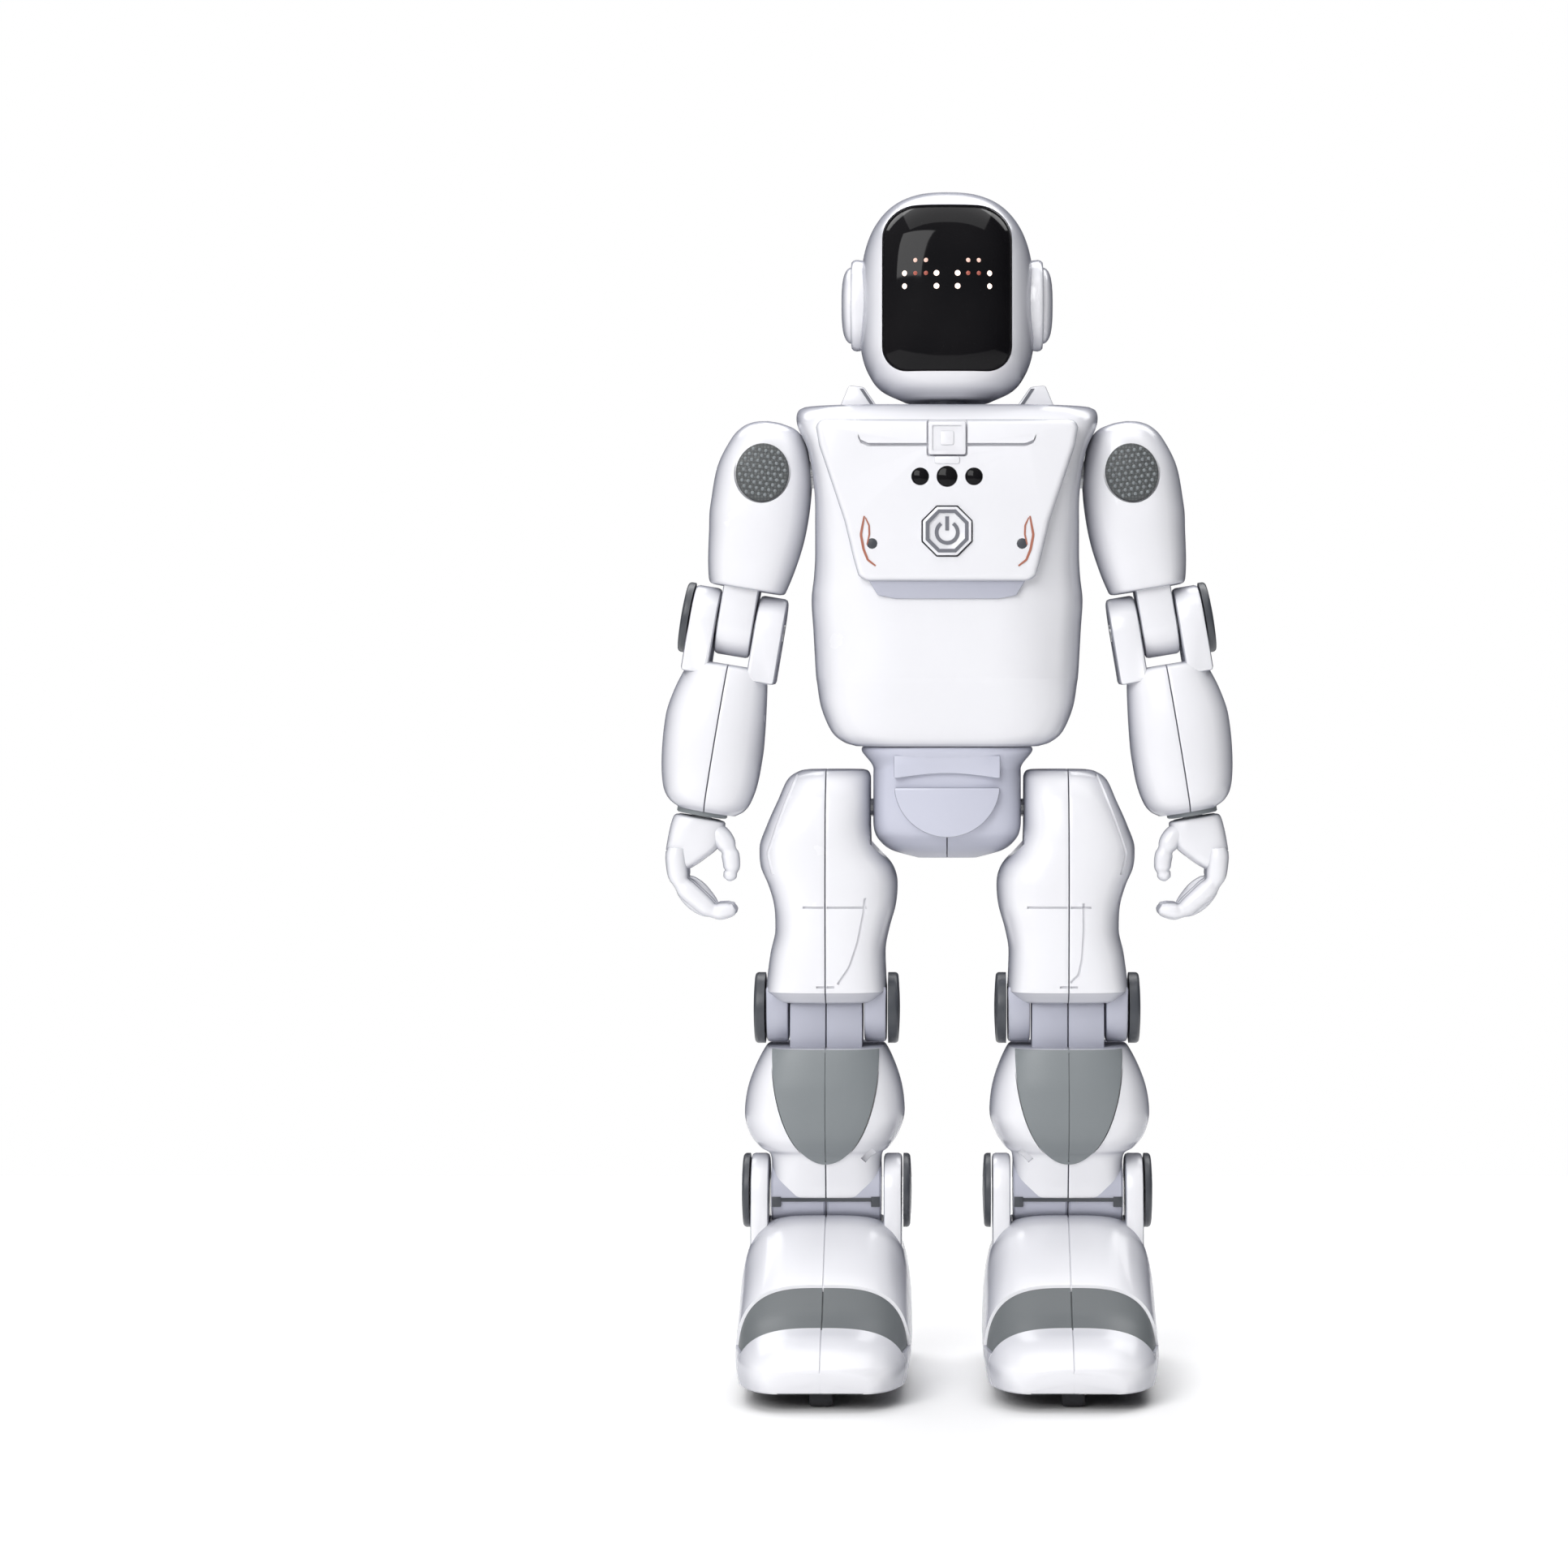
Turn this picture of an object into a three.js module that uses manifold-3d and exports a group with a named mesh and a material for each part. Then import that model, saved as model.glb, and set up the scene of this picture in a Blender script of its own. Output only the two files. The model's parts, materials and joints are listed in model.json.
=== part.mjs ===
// Walking humanoid robot toy. Millimetres, +Z up, the robot faces -Y, its own left side is +X.
// The origin is on the floor, midway between the feet.
import * as THREE from "three";
import { mergeVertices } from "three/addons/utils/BufferGeometryUtils.js";
import Module from "manifold-3d";

const wasm = await Module();
wasm.setup();

// ---- Driving dimensions ----
const HEAD_TOP = 400;
const WALL = 2.4; // shell wall thickness
const GAP = 0.3; // between pieces that are fixed to each other
const PLAY = 0.6; // between pieces that move against each other
const SEAM = 0.3; // width of the split between two half shells

const NECK_RADIUS = 7;
const TORSO_TOP = 327.5;
const TORSO_BOTTOM = 213;
const PELVIS_TOP = TORSO_BOTTOM - GAP;
const PELVIS_BOTTOM = 175;
const PELVIS_HALF = 25;

const SHOULDER = { x: 62, z: 305 }; // where the arm's axis meets the shoulder shaft
const ARM_TILT = THREE.MathUtils.degToRad(9.5); // the arms hang a little away from the body
const ELBOW_DROP = 52; // from shoulder to elbow, along the arm
const UPPER_ARM_LENGTH = 39.4; // from the shoulder to the end of the upper arm's shell
const WRIST_DROP = 116;

const LEG_X = 40.8; // from the middle of the robot to the middle of a leg
const HIP_Z = 192;
const KNEE_Z = 124;
const ANKLE_Z = 62;
const SOLE_Z = 3.5;
const FOOT = { half: 29, toe: 71, heel: 42 }; // half width, and reach in front of and behind the leg

const EAR = { radius: 15.5, z: 362.5, reach: 36, inside: 22 };
const BUTTON = { radius: 8, z: 284.5, proud: 1.6, depth: 6, stem: { radius: 2.5, length: 3 } };
const WHEEL = { radius: 9, width: 6, x: 18, y: 22, axle: 1.5 };
const ROLLER = { radius: 4.6, width: 7.4, y: -58, axle: 1.1, axleHalf: 7.6 };

const paint = (color, roughness, metalness = 0) =>
  new THREE.MeshStandardMaterial({ color, roughness, metalness });
const white = paint(0xf2f2f5, 0.25);
const lightGrey = paint(0xb9bbc8, 0.35);
const darkGrey = paint(0x868a8b, 0.45);
const charcoal = paint(0x41444a, 0.4);
const black = paint(0x0b0b0e, 0.08);
const rubber = paint(0x303235, 0.85);
const steel = paint(0xa8abb0, 0.3, 0.9);
const board = paint(0x1f6b3a, 0.5);
const battery = paint(0x2b5fa8, 0.45);

// ---- Solids ----

// A closed three.js geometry as a manifold-3d solid.
function solid(geometry) {
  geometry.deleteAttribute("normal");
  geometry.deleteAttribute("uv");
  const merged = mergeVertices(geometry, 1e-4);
  return new wasm.Manifold(
    new wasm.Mesh({
      numProp: 3,
      vertProperties: merged.attributes.position.array,
      triVerts: new Uint32Array(merged.index.array),
    }),
  );
}

// A named mesh made of a solid, added to a group.
function put(group, name, shape, material) {
  const made = shape.getMesh();
  const geometry = new THREE.BufferGeometry();
  geometry.setAttribute("position", new THREE.BufferAttribute(made.vertProperties, 3));
  geometry.setIndex(new THREE.BufferAttribute(made.triVerts, 1));
  geometry.computeVertexNormals();
  const mesh = new THREE.Mesh(geometry, material);
  mesh.name = name;
  group.add(mesh);
}

const union = (...shapes) => shapes.reduce((all, shape) => all.add(shape));
const mid = ([low, high]) => (low + high) / 2;
const span = ([low, high]) => high - low;

function block(x, y, z) {
  return solid(new THREE.BoxGeometry(span(x), span(y), span(z)).translate(mid(x), mid(y), mid(z)));
}

// A round bar along X, Y or Z, from low to high, with its centre line at the two other coordinates.
function rod(axis, radius, [low, high], [a, b], segments = 12) {
  const bar = new THREE.CylinderGeometry(radius, radius, high - low, segments);
  const centre = (low + high) / 2;
  if (axis === "x") bar.rotateZ(Math.PI / 2).translate(centre, a, b);
  if (axis === "y") bar.translate(a, centre, b);
  if (axis === "z") bar.rotateX(Math.PI / 2).translate(a, b, centre);
  return solid(bar);
}

// The surface of a loft along Z. Each section is [z, [x low, x high], [y low, y high], squareness]:
// 2 is an ellipse, and a larger number is squarer.
function loftGeometry(sections, sides) {
  const rings = [...sections].sort((a, b) => a[0] - b[0]);
  const points = [];
  const power = (value, exponent) => Math.sign(value) * Math.abs(value) ** exponent;
  for (const [z, x, y, squareness] of rings) {
    for (let i = 0; i < sides; i++) {
      const angle = (2 * Math.PI * (i + 0.5)) / sides;
      points.push(
        mid(x) + (span(x) / 2) * power(Math.cos(angle), 2 / squareness),
        mid(y) + (span(y) / 2) * power(Math.sin(angle), 2 / squareness),
        z,
      );
    }
  }
  const faces = [];
  for (let k = 0; k < rings.length - 1; k++) {
    for (let i = 0; i < sides; i++) {
      const a = k * sides + i;
      const b = k * sides + ((i + 1) % sides);
      faces.push(a, b, b + sides, a, b + sides, a + sides);
    }
  }
  const bottom = points.length / 3;
  const lastRing = bottom - sides;
  points.push(mid(rings[0][1]), mid(rings[0][2]), rings[0][0]);
  points.push(mid(rings.at(-1)[1]), mid(rings.at(-1)[2]), rings.at(-1)[0]);
  for (let i = 0; i < sides; i++) {
    const next = (i + 1) % sides;
    faces.push(bottom, next, i, bottom + 1, lastRing + i, lastRing + next);
  }
  const geometry = new THREE.BufferGeometry();
  geometry.setAttribute("position", new THREE.Float32BufferAttribute(points, 3));
  geometry.setIndex(faces);
  return geometry;
}

const loft = (sections, sides = 12) => solid(loftGeometry(sections, sides));

// The same with the loft's Z turned to -Y, and its Y turned to Z.
const turnedLoft = (sections, sides) =>
  solid(loftGeometry(sections, sides).rotateX(Math.PI / 2));

// The same loft with every wall moved in by a distance, or out by a negative one.
function inset(sections, distance) {
  const heights = sections.map(([z]) => z);
  const top = Math.max(...heights);
  const bottom = Math.min(...heights);
  const middle = (top + bottom) / 2;
  const shrink = (top - middle - distance) / (top - middle);
  const narrow = ([low, high]) => {
    const step = Math.min(distance, (high - low) / 2 - 1);
    return [low + step, high - step];
  };
  return sections.map(([z, x, y, squareness]) => [
    middle + (z - middle) * shrink,
    narrow(x),
    narrow(y),
    squareness,
  ]);
}

const INSIDE_SIDES = 8; // the inside of a shell has flatter facets than its outside

// Every second section, always with the first and the last, for the plain inside of a shell.
const coarse = (sections) =>
  sections.filter((section, i) => i % 2 === 0 || i === sections.length - 1);

function hollow(sections, wall = WALL, sides = 12) {
  return loft(sections, sides).subtract(loft(inset(coarse(sections), wall), INSIDE_SIDES));
}

const FAR = 500; // reaches past the whole robot, for a cut that goes right through

// The two halves of a shell, each side of a plane across X or Y, with the seam's width between them.
function halves(shape, axis, at = 0) {
  const everywhere = [-FAR, FAR];
  const low = [-FAR, at - SEAM / 2];
  const high = [at + SEAM / 2, FAR];
  const slab = (range) =>
    axis === "x" ? block(range, everywhere, everywhere) : block(everywhere, range, everywhere);
  return [shape.intersect(slab(low)), shape.intersect(slab(high))];
}

// A flat outline in the XZ plane, as thick as the given Y range. bevel slants its edges.
function plate(outline, [front, back], bevel = 0) {
  const shape = new THREE.ExtrudeGeometry(outline, {
    depth: back - front - 2 * bevel,
    bevelEnabled: bevel > 0,
    bevelThickness: bevel,
    bevelSize: bevel,
    bevelOffset: -bevel,
    bevelSegments: 1,
    curveSegments: 2,
  });
  return solid(shape.rotateX(Math.PI / 2).translate(0, back - bevel, 0));
}

// A rectangle with round corners in the XZ plane, centred on x = 0.
function roundedRectangle(half, [low, high], radius) {
  const shape = new THREE.Shape();
  shape.moveTo(-half + radius, low);
  shape.lineTo(half - radius, low);
  shape.absarc(half - radius, low + radius, radius, -Math.PI / 2, 0);
  shape.lineTo(half, high - radius);
  shape.absarc(half - radius, high - radius, radius, 0, Math.PI / 2);
  shape.lineTo(-half + radius, high);
  shape.absarc(-half + radius, high - radius, radius, Math.PI / 2, Math.PI);
  shape.lineTo(-half, low + radius);
  shape.absarc(-half + radius, low + radius, radius, Math.PI, 1.5 * Math.PI);
  return shape;
}

const even = (half) => [-half, half];
const bothSides = ([near, far], make) => [make([near, far]), make([-far, -near])];

// ---- Head ----

const HEAD_SECTIONS = [
  [HEAD_TOP, even(9), [-9, 10], 2.2],
  [398.2, even(15.5), [-17, 18], 2.3],
  [394.5, even(20), [-22, 24], 2.5],
  [389, even(24.4), [-26, 28], 2.8],
  [381, even(27.8), [-28.4, 30], 3],
  [371, even(29.3), [-29.6, 31], 3],
  [358, even(29.6), [-30, 31], 3],
  [346, even(29), [-29.4, 29], 3],
  [339, even(26.6), [-27.6, 26], 2.8],
  [333.5, even(22.4), [-24.6, 21], 2.5],
  [329.6, even(14.5), [-18, 14], 2.4],
];
const HEAD_SIDES = 16;
const HEAD_SPLIT_Y = 2;
const NECK_HOLE = [315, 335];
const NECK_POST = { z: [318, 336], flange: 3, thickness: [3, 2.5], relief: 0.4 };
const LED_BOARD = { half: 18, y: [-19.6, -18], z: [355, 377] };
const SCREEN = { half: 21.3, z: [338.2, 393.6], radius: 8.5, sunk: 0.9, thickness: 2 };

function headShells() {
  const screenPrism = plate(
    roundedRectangle(SCREEN.half + GAP, [SCREEN.z[0] - GAP, SCREEN.z[1] + GAP], SCREEN.radius),
    [-FAR, -10],
  );
  const neckHole = rod("z", NECK_RADIUS + GAP, NECK_HOLE, [0, 0]);
  const shell = hollow(HEAD_SECTIONS, WALL, HEAD_SIDES).subtract(neckHole);
  const [front, rear] = halves(shell, "y", HEAD_SPLIT_Y);
  return [front.subtract(screenPrism), rear];
}

// The screen follows the front of the head, sunk a little below the rim.
function faceScreen() {
  const prism = plate(roundedRectangle(SCREEN.half, SCREEN.z, SCREEN.radius), [-FAR, -12]);
  const outside = loft(inset(HEAD_SECTIONS, SCREEN.sunk), HEAD_SIDES);
  const inside = loft(inset(HEAD_SECTIONS, SCREEN.sunk + SCREEN.thickness), HEAD_SIDES);
  return outside.intersect(prism).subtract(inside);
}

function earCap(side) {
  const rim = EAR.reach - 3;
  const profile = [
    [0, EAR.inside],
    [EAR.radius, EAR.inside],
    [EAR.radius, rim],
    [EAR.radius - 1.4, rim + 1.8],
    [EAR.radius - 6, EAR.reach - 0.3],
    [0, EAR.reach],
  ].map(([radius, x]) => new THREE.Vector2(radius, x));
  const dome = new THREE.LatheGeometry(profile, 18).rotateZ(-Math.PI / 2);
  if (side < 0) dome.rotateY(Math.PI);
  dome.translate(0, HEAD_SPLIT_Y, EAR.z);
  return solid(dome).subtract(loft(inset(HEAD_SECTIONS, -GAP), HEAD_SIDES));
}

// The post turns in the torso's neck hole. It has a flange inside the head and one inside the torso.
function neckPost() {
  const bore = NECK_RADIUS - GAP;
  const [bottom, top] = NECK_POST.z;
  const [lower, upper] = NECK_POST.thickness;
  const flange = bore + NECK_POST.flange;
  const shank = bore - NECK_POST.relief;
  const profile = [
    [0, bottom],
    [flange, bottom],
    [flange, bottom + lower],
    [shank, bottom + lower],
    [shank, top - upper],
    [flange - NECK_POST.relief, top - upper],
    [flange - NECK_POST.relief, top],
    [0, top],
  ].map(([radius, z]) => new THREE.Vector2(radius, z));
  return solid(new THREE.LatheGeometry(profile, 12).rotateX(Math.PI / 2));
}

function buildHead() {
  const head = new THREE.Group();
  const [front, rear] = headShells();
  put(head, "head_front_shell", front, white);
  put(head, "head_rear_shell", rear, white);
  put(head, "face_screen", faceScreen(), black);
  put(head, "led_board", block(even(LED_BOARD.half), LED_BOARD.y, LED_BOARD.z), board);
  put(head, "left_ear_cap", earCap(1), white);
  put(head, "right_ear_cap", earCap(-1), white);
  put(head, "neck_post", neckPost(), white);
  return head;
}

// ---- Torso ----

const TORSO_SECTIONS = [
  [TORSO_TOP, even(50.6), [-20, 19], 3],
  [325, even(52.4), [-25, 22], 3.2],
  [318.5, even(47.8), [-28.6, 26], 3.4],
  [308, even(45), [-30, 30], 3.6],
  [296, even(44.4), [-30.4, 32], 3.8],
  [272, even(44.4), [-30.2, 33], 4],
  [268.5, even(46), [-30.2, 33], 4],
  [246, even(44.6), [-31, 33], 4],
  [233, even(43.4), [-30.4, 32], 4],
  [223, even(42), [-27.4, 30], 3.8],
  [217.5, even(38.2), [-24.4, 27], 3.5],
  [TORSO_BOTTOM, even(30), [-20.6, 22], 3.2],
];
// The raised part of the chest: wide at the shoulders and narrow at its lower lip.
const CHEST = { lip: 268, front: -34, back: -20, slope: 4 };
const CHEST_HALF_WIDTHS = [
  [0, 27],
  [2.5, 29.5],
  [8, 31.4],
  [20, 34],
  [32, 38],
  [45, 43.2],
  [54, 44],
];
const PANEL = { half: 29, z: [269.6, 312.4], radius: 5, thickness: 2.4 };
const EMBLEM = { half: 6.4, z: [309.4, 321.4] };
const LENS = { z: 302.6, x: [-8.9, 0, 8.9], radii: [3.2, 3.7, 3.2], barHalf: 14, barHeight: 10 };
const COLLAR = { inner: 30.4, outer: 35, height: 7, back: 17, sunk: 1.5 };
const BATTERY_COVER = { half: 25, z: [236, 264], y: [30.9, 33.6], radius: 4 };
const MAIN_BOARD = { half: 25, y: [-18, -16.4], z: [276, 312] };
const BATTERY_PACK = { half: 22, y: [10, 26], z: [236, 262] };
const SPEAKER = { radius: 13, y: [-24, -15], z: 245 };
const SHAFT_HOLE = 5;
const PELVIS_NECK = { half: 19.2, depth: 13.2, z: [205, 220] }; // holds the pelvis inside the torso
const NECK_ROOM = 0.4;

function chestOutline(grow = 0) {
  const right = CHEST_HALF_WIDTHS.map(([up, half]) => [half + grow, CHEST.lip + up]);
  const left = [...right].reverse().map(([x, z]) => [-x, z]);
  return new THREE.Shape([...right, ...left].map(([x, z]) => new THREE.Vector2(x, z)));
}

function torsoBody() {
  const relief = plate(chestOutline(), [CHEST.front, CHEST.back], CHEST.slope);
  const outside = loft(TORSO_SECTIONS, 16).add(relief);
  const inside = loft(inset(coarse(TORSO_SECTIONS), WALL), INSIDE_SIDES);
  const reliefInside = plate(chestOutline(-WALL), [CHEST.front + PANEL.thickness + 2, 0]);
  const pelvisNeck = block(
    even(PELVIS_NECK.half + NECK_ROOM),
    even(PELVIS_NECK.depth + NECK_ROOM),
    [0, PELVIS_NECK.z[1] + 2],
  );
  const neckHole = rod("z", NECK_RADIUS, NECK_HOLE, [0, 0]);
  return outside
    .subtract(inside)
    .subtract(reliefInside.intersect(block(even(FAR), even(FAR), [270, 318])))
    .subtract(pelvisNeck)
    .subtract(neckHole)
    .subtract(rod("x", SHAFT_HOLE + GAP, even(FAR), [0, SHOULDER.z]));
}

// The collar stands round the back and the sides of the head's underside.
function collar() {
  const bottom = TORSO_TOP - COLLAR.sunk;
  const top = TORSO_TOP + COLLAR.height;
  const profile = [
    [COLLAR.inner, bottom],
    [COLLAR.outer, bottom],
    [COLLAR.outer - 1, mid([TORSO_TOP, top])],
    [COLLAR.inner + 2, top],
    [COLLAR.inner, top],
    [COLLAR.inner, bottom],
  ].map(([radius, z]) => new THREE.Vector2(radius, z));
  const ring = solid(new THREE.LatheGeometry(profile, 24).rotateX(Math.PI / 2));
  return ring.intersect(block(even(FAR), [SEAM / 2, COLLAR.back], even(FAR)));
}

const panelOutline = (grow) =>
  roundedRectangle(PANEL.half + grow, [PANEL.z[0] - grow, PANEL.z[1] + grow], PANEL.radius);

function chestPanel() {
  const back = CHEST.front + PANEL.thickness;
  const emblem = block(even(EMBLEM.half), [CHEST.front - 0.9, back], EMBLEM.z);
  let panel = plate(panelOutline(0), [CHEST.front - 0.3, back]).add(emblem);
  for (const [i, x] of LENS.x.entries()) {
    panel = panel.subtract(rod("y", LENS.radii[i] + GAP, [-FAR, back + 1], [x, LENS.z], 10));
  }
  return panel.subtract(rod("y", BUTTON.radius + PLAY, [-FAR, back + 1], [0, BUTTON.z], 12));
}

function sensorModule() {
  const back = CHEST.front + 10;
  const height = [LENS.z - LENS.barHeight / 2, LENS.z + LENS.barHeight / 2];
  const bar = block(even(LENS.barHalf), [back - WALL, back], height);
  const lenses = LENS.x.map((x, i) =>
    rod("y", LENS.radii[i], [CHEST.front + 0.2, back - 1], [x, LENS.z], 10),
  );
  return union(bar, ...lenses);
}

function powerButton() {
  const { z, radius, proud, depth, stem } = BUTTON;
  const inner = CHEST.front + depth;
  const cap = rod("y", radius, [CHEST.front - proud, inner], [0, z], 12);
  return cap.add(rod("y", stem.radius, [inner - 1, inner + stem.length], [0, z], 12));
}

function torsoShells() {
  const [front, rear] = halves(torsoBody(), "y");
  const behindPanel = CHEST.front + PANEL.thickness + GAP;
  let face = front
    .subtract(plate(panelOutline(GAP), [-FAR, behindPanel]))
    .subtract(rod("y", BUTTON.radius + PLAY, [-FAR, CHEST.back], [0, BUTTON.z], 12))
    .subtract(block(even(EMBLEM.half + GAP), [-FAR, behindPanel], EMBLEM.z.map((z) => z + GAP)));
  for (const [i, x] of LENS.x.entries()) {
    face = face.subtract(rod("y", LENS.radii[i] + GAP, [-FAR, CHEST.back], [x, LENS.z], 10));
  }
  const coverHole = roundedRectangle(
    BATTERY_COVER.half + GAP,
    [BATTERY_COVER.z[0] - GAP, BATTERY_COVER.z[1] + GAP],
    BATTERY_COVER.radius,
  );
  const back = rear.subtract(plate(coverHole, [BATTERY_COVER.y[0] - 1, FAR])).add(collar());
  return [face, back];
}

function buildTorso() {
  const torso = new THREE.Group();
  const [front, rear] = torsoShells();
  put(torso, "torso_front_shell", front, white);
  put(torso, "torso_rear_shell", rear, white);
  put(torso, "chest_panel", chestPanel(), white);
  put(torso, "sensor_module", sensorModule(), black);
  put(torso, "power_button", powerButton(), white);
  put(torso, "main_board", block(even(MAIN_BOARD.half), MAIN_BOARD.y, MAIN_BOARD.z), board);
  const pack = block(even(BATTERY_PACK.half), BATTERY_PACK.y, BATTERY_PACK.z);
  put(torso, "battery_pack", pack, battery);
  const cover = roundedRectangle(BATTERY_COVER.half, BATTERY_COVER.z, BATTERY_COVER.radius);
  put(torso, "battery_cover", plate(cover, BATTERY_COVER.y), white);
  put(torso, "speaker", rod("y", SPEAKER.radius, SPEAKER.y, [0, SPEAKER.z]), charcoal);
  return torso;
}

// ---- Pelvis ----

// Below the hip axis the pelvis stays within a round end, so that the thighs can swing past it.
const PELVIS_ROUND = HIP_Z - PELVIS_BOTTOM;
const roundDepth = (z) => Math.sqrt(Math.max(PELVIS_ROUND ** 2 - (HIP_Z - z) ** 2, 4));
const PELVIS_SECTIONS = [
  [PELVIS_TOP, even(29.4), even(20), 3.4],
  [206.6, even(PELVIS_HALF), even(17.4), 3.6],
  [HIP_Z, even(PELVIS_HALF), even(roundDepth(HIP_Z)), 4],
  [182.5, even(24), even(roundDepth(182.5)), 4],
  [178, even(20), even(roundDepth(178)), 3.4],
  [PELVIS_BOTTOM, even(12), even(2), 2.4],
];
const SHAFT_RADIUS = 3;
const HALF_DISC = { radius: 17.8, z: 200.4, front: -19, back: -14 };
const HIP_WASHER = { radius: 6, x: [30, 32.5] };
const MOTOR = { half: 14, depth: 8, z: [186, 203], canRadius: 5, canX: [-12, 15.4], canAt: [2, 199] };
const HIP_BORE = rod("x", SHAFT_RADIUS + GAP, even(FAR), [0, HIP_Z], 10);

function pelvisShells() {
  const { radius, z, front, back } = HALF_DISC;
  const lowerHalf = block(even(FAR), even(FAR), [0, z]);
  const disc = rod("y", radius, [front, back], [0, z], 20).intersect(lowerHalf);
  const neck = block(even(PELVIS_NECK.half), even(PELVIS_NECK.depth), PELVIS_NECK.z);
  const inside = loft(inset(coarse(PELVIS_SECTIONS), WALL), INSIDE_SIDES);
  const body = union(loft(PELVIS_SECTIONS), disc, neck)
    .subtract(inside)
    .subtract(block(even(PELVIS_NECK.half - WALL), even(PELVIS_NECK.depth - WALL), [200, FAR]))
    .subtract(HIP_BORE);
  return halves(body, "y");
}

function hipShaft() {
  const bar = rod("x", SHAFT_RADIUS, even(HIP_WASHER.x[1] + 0.5), [0, HIP_Z], 10);
  const washers = bothSides(HIP_WASHER.x, (x) => rod("x", HIP_WASHER.radius, x, [0, HIP_Z], 10));
  return union(bar, ...washers);
}

function legMotor() {
  const housing = block(even(MOTOR.half), even(MOTOR.depth), MOTOR.z);
  const can = rod("x", MOTOR.canRadius, MOTOR.canX, MOTOR.canAt, 12);
  return housing.add(can).subtract(HIP_BORE);
}

function buildPelvis() {
  const pelvis = new THREE.Group();
  const [front, rear] = pelvisShells();
  put(pelvis, "pelvis_front_shell", front, lightGrey);
  put(pelvis, "pelvis_rear_shell", rear, lightGrey);
  put(pelvis, "hip_shaft", hipShaft(), steel);
  put(pelvis, "leg_motor", legMotor(), charcoal);
  return pelvis;
}

// ---- Arms, built for the left side: the shoulder is the origin, the arm hangs down, +X is outwards ----

const UPPER_ARM_SECTIONS = [
  [18, [-4.5, 3.5], even(6), 2.2],
  [15, [-10, 9.4], even(11), 2.3],
  [8, [-13.8, 13.9], even(14.8), 2.4],
  [0, [-16.3, 16.2], even(16.8), 2.5],
  [-13, [-18.6, 16.4], even(17.2), 2.5],
  [-22, [-17.6, 15.4], even(16.6), 2.5],
  [-31, [-15.4, 14.2], even(15.4), 2.6],
  [-UPPER_ARM_LENGTH, [-14, 12.6], even(13.6), 2.7],
];
const FOREARM_TOP = -66.4;
const FOREARM_SECTIONS = [
  [FOREARM_TOP, [-11.4, 14.6], even(12), 2.6],
  [-69.5, [-12.4, 15.8], even(13.4), 2.6],
  [-77, [-13.6, 18.2], even(15), 2.5],
  [-86, [-14.6, 19.6], even(16), 2.5],
  [-95, [-15.2, 19.2], even(16.2), 2.5],
  [-104, [-15, 18], even(15.6), 2.5],
  [-110.5, [-13.8, 16.4], even(14.4), 2.5],
  [-114, [-11.8, 13.4], even(12.2), 2.5],
  [-WRIST_DROP, [-9.4, 10], even(9.6), 2.4],
];
const ELBOW = {
  radius: 11.5,
  neck: 10.5, // half depth of the lugs where they join the forearm
  tongue: [-5, 7],
  inner: [-15.4, -5.6],
  outer: [7.6, 16.6],
  cap: 19.8,
};
const PIN_RADIUS = 2.5;
const FOREARM_SEAM = 1;
const GRILLE = { radius: 9.3, y: [-17.2, -14.6] };
const SHOULDER_SHAFT = { radius: 4.6, flange: 7.5, thickness: 2.5, x: [-27, -6] };
const SHOULDER_BORE = { x: -18, length: 26 };
const WRIST = { radius: 4, x: 2, bore: 6, peg: [-126, -108] };

// A round lug across X that reaches down or up from its pivot to another height.
function lug(x, radius, pivot, reachZ, halfDepth) {
  const heights = [pivot, reachZ].sort((a, b) => a - b);
  return rod("x", radius, x, [0, pivot], 12).add(block(x, even(halfDepth), heights));
}

function upperArmShells() {
  const tongue = lug(ELBOW.tongue, ELBOW.radius - 1, -ELBOW_DROP, 1 - UPPER_ARM_LENGTH, ELBOW.neck - 2);
  const boreRadius = SHOULDER_SHAFT.radius + GAP;
  const shaftBore = new THREE.CylinderGeometry(boreRadius, boreRadius, SHOULDER_BORE.length, 10);
  shaftBore.rotateZ(Math.PI / 2).translate(SHOULDER_BORE.x, 0, 0).rotateY(ARM_TILT);
  const body = hollow(UPPER_ARM_SECTIONS)
    .add(tongue)
    .subtract(solid(shaftBore))
    .subtract(rod("x", PIN_RADIUS + PLAY, even(FAR), [0, -ELBOW_DROP], 10))
    .subtract(rod("y", GRILLE.radius + GAP, [-FAR, GRILLE.y[1] + GAP], [0, 0], 16));
  return halves(body, "y");
}

function forearmShells() {
  const lugs = [ELBOW.inner, ELBOW.outer].map((x) =>
    lug(x, ELBOW.radius, -ELBOW_DROP, FOREARM_TOP - 4, ELBOW.neck),
  );
  const fork = [ELBOW.inner[1], ELBOW.outer[0]];
  const tongueRoom = rod("x", ELBOW.radius - 1 + PLAY, fork, [0, -ELBOW_DROP]);
  const body = union(hollow(FOREARM_SECTIONS), ...lugs)
    .subtract(tongueRoom)
    .subtract(rod("x", PIN_RADIUS + GAP, even(FAR), [0, -ELBOW_DROP], 10))
    .subtract(rod("z", WRIST.radius + PLAY, [-FAR, -WRIST_DROP + WRIST.bore], [WRIST.x, 0], 10));
  return halves(body, "x", FOREARM_SEAM);
}

function elbowPin() {
  const bar = rod("x", PIN_RADIUS, [ELBOW.inner[0], ELBOW.cap - 1], [0, -ELBOW_DROP], 10);
  return bar.add(
    rod("x", ELBOW.radius, [ELBOW.outer[1] + GAP, ELBOW.cap], [0, -ELBOW_DROP], 16),
  );
}

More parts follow.
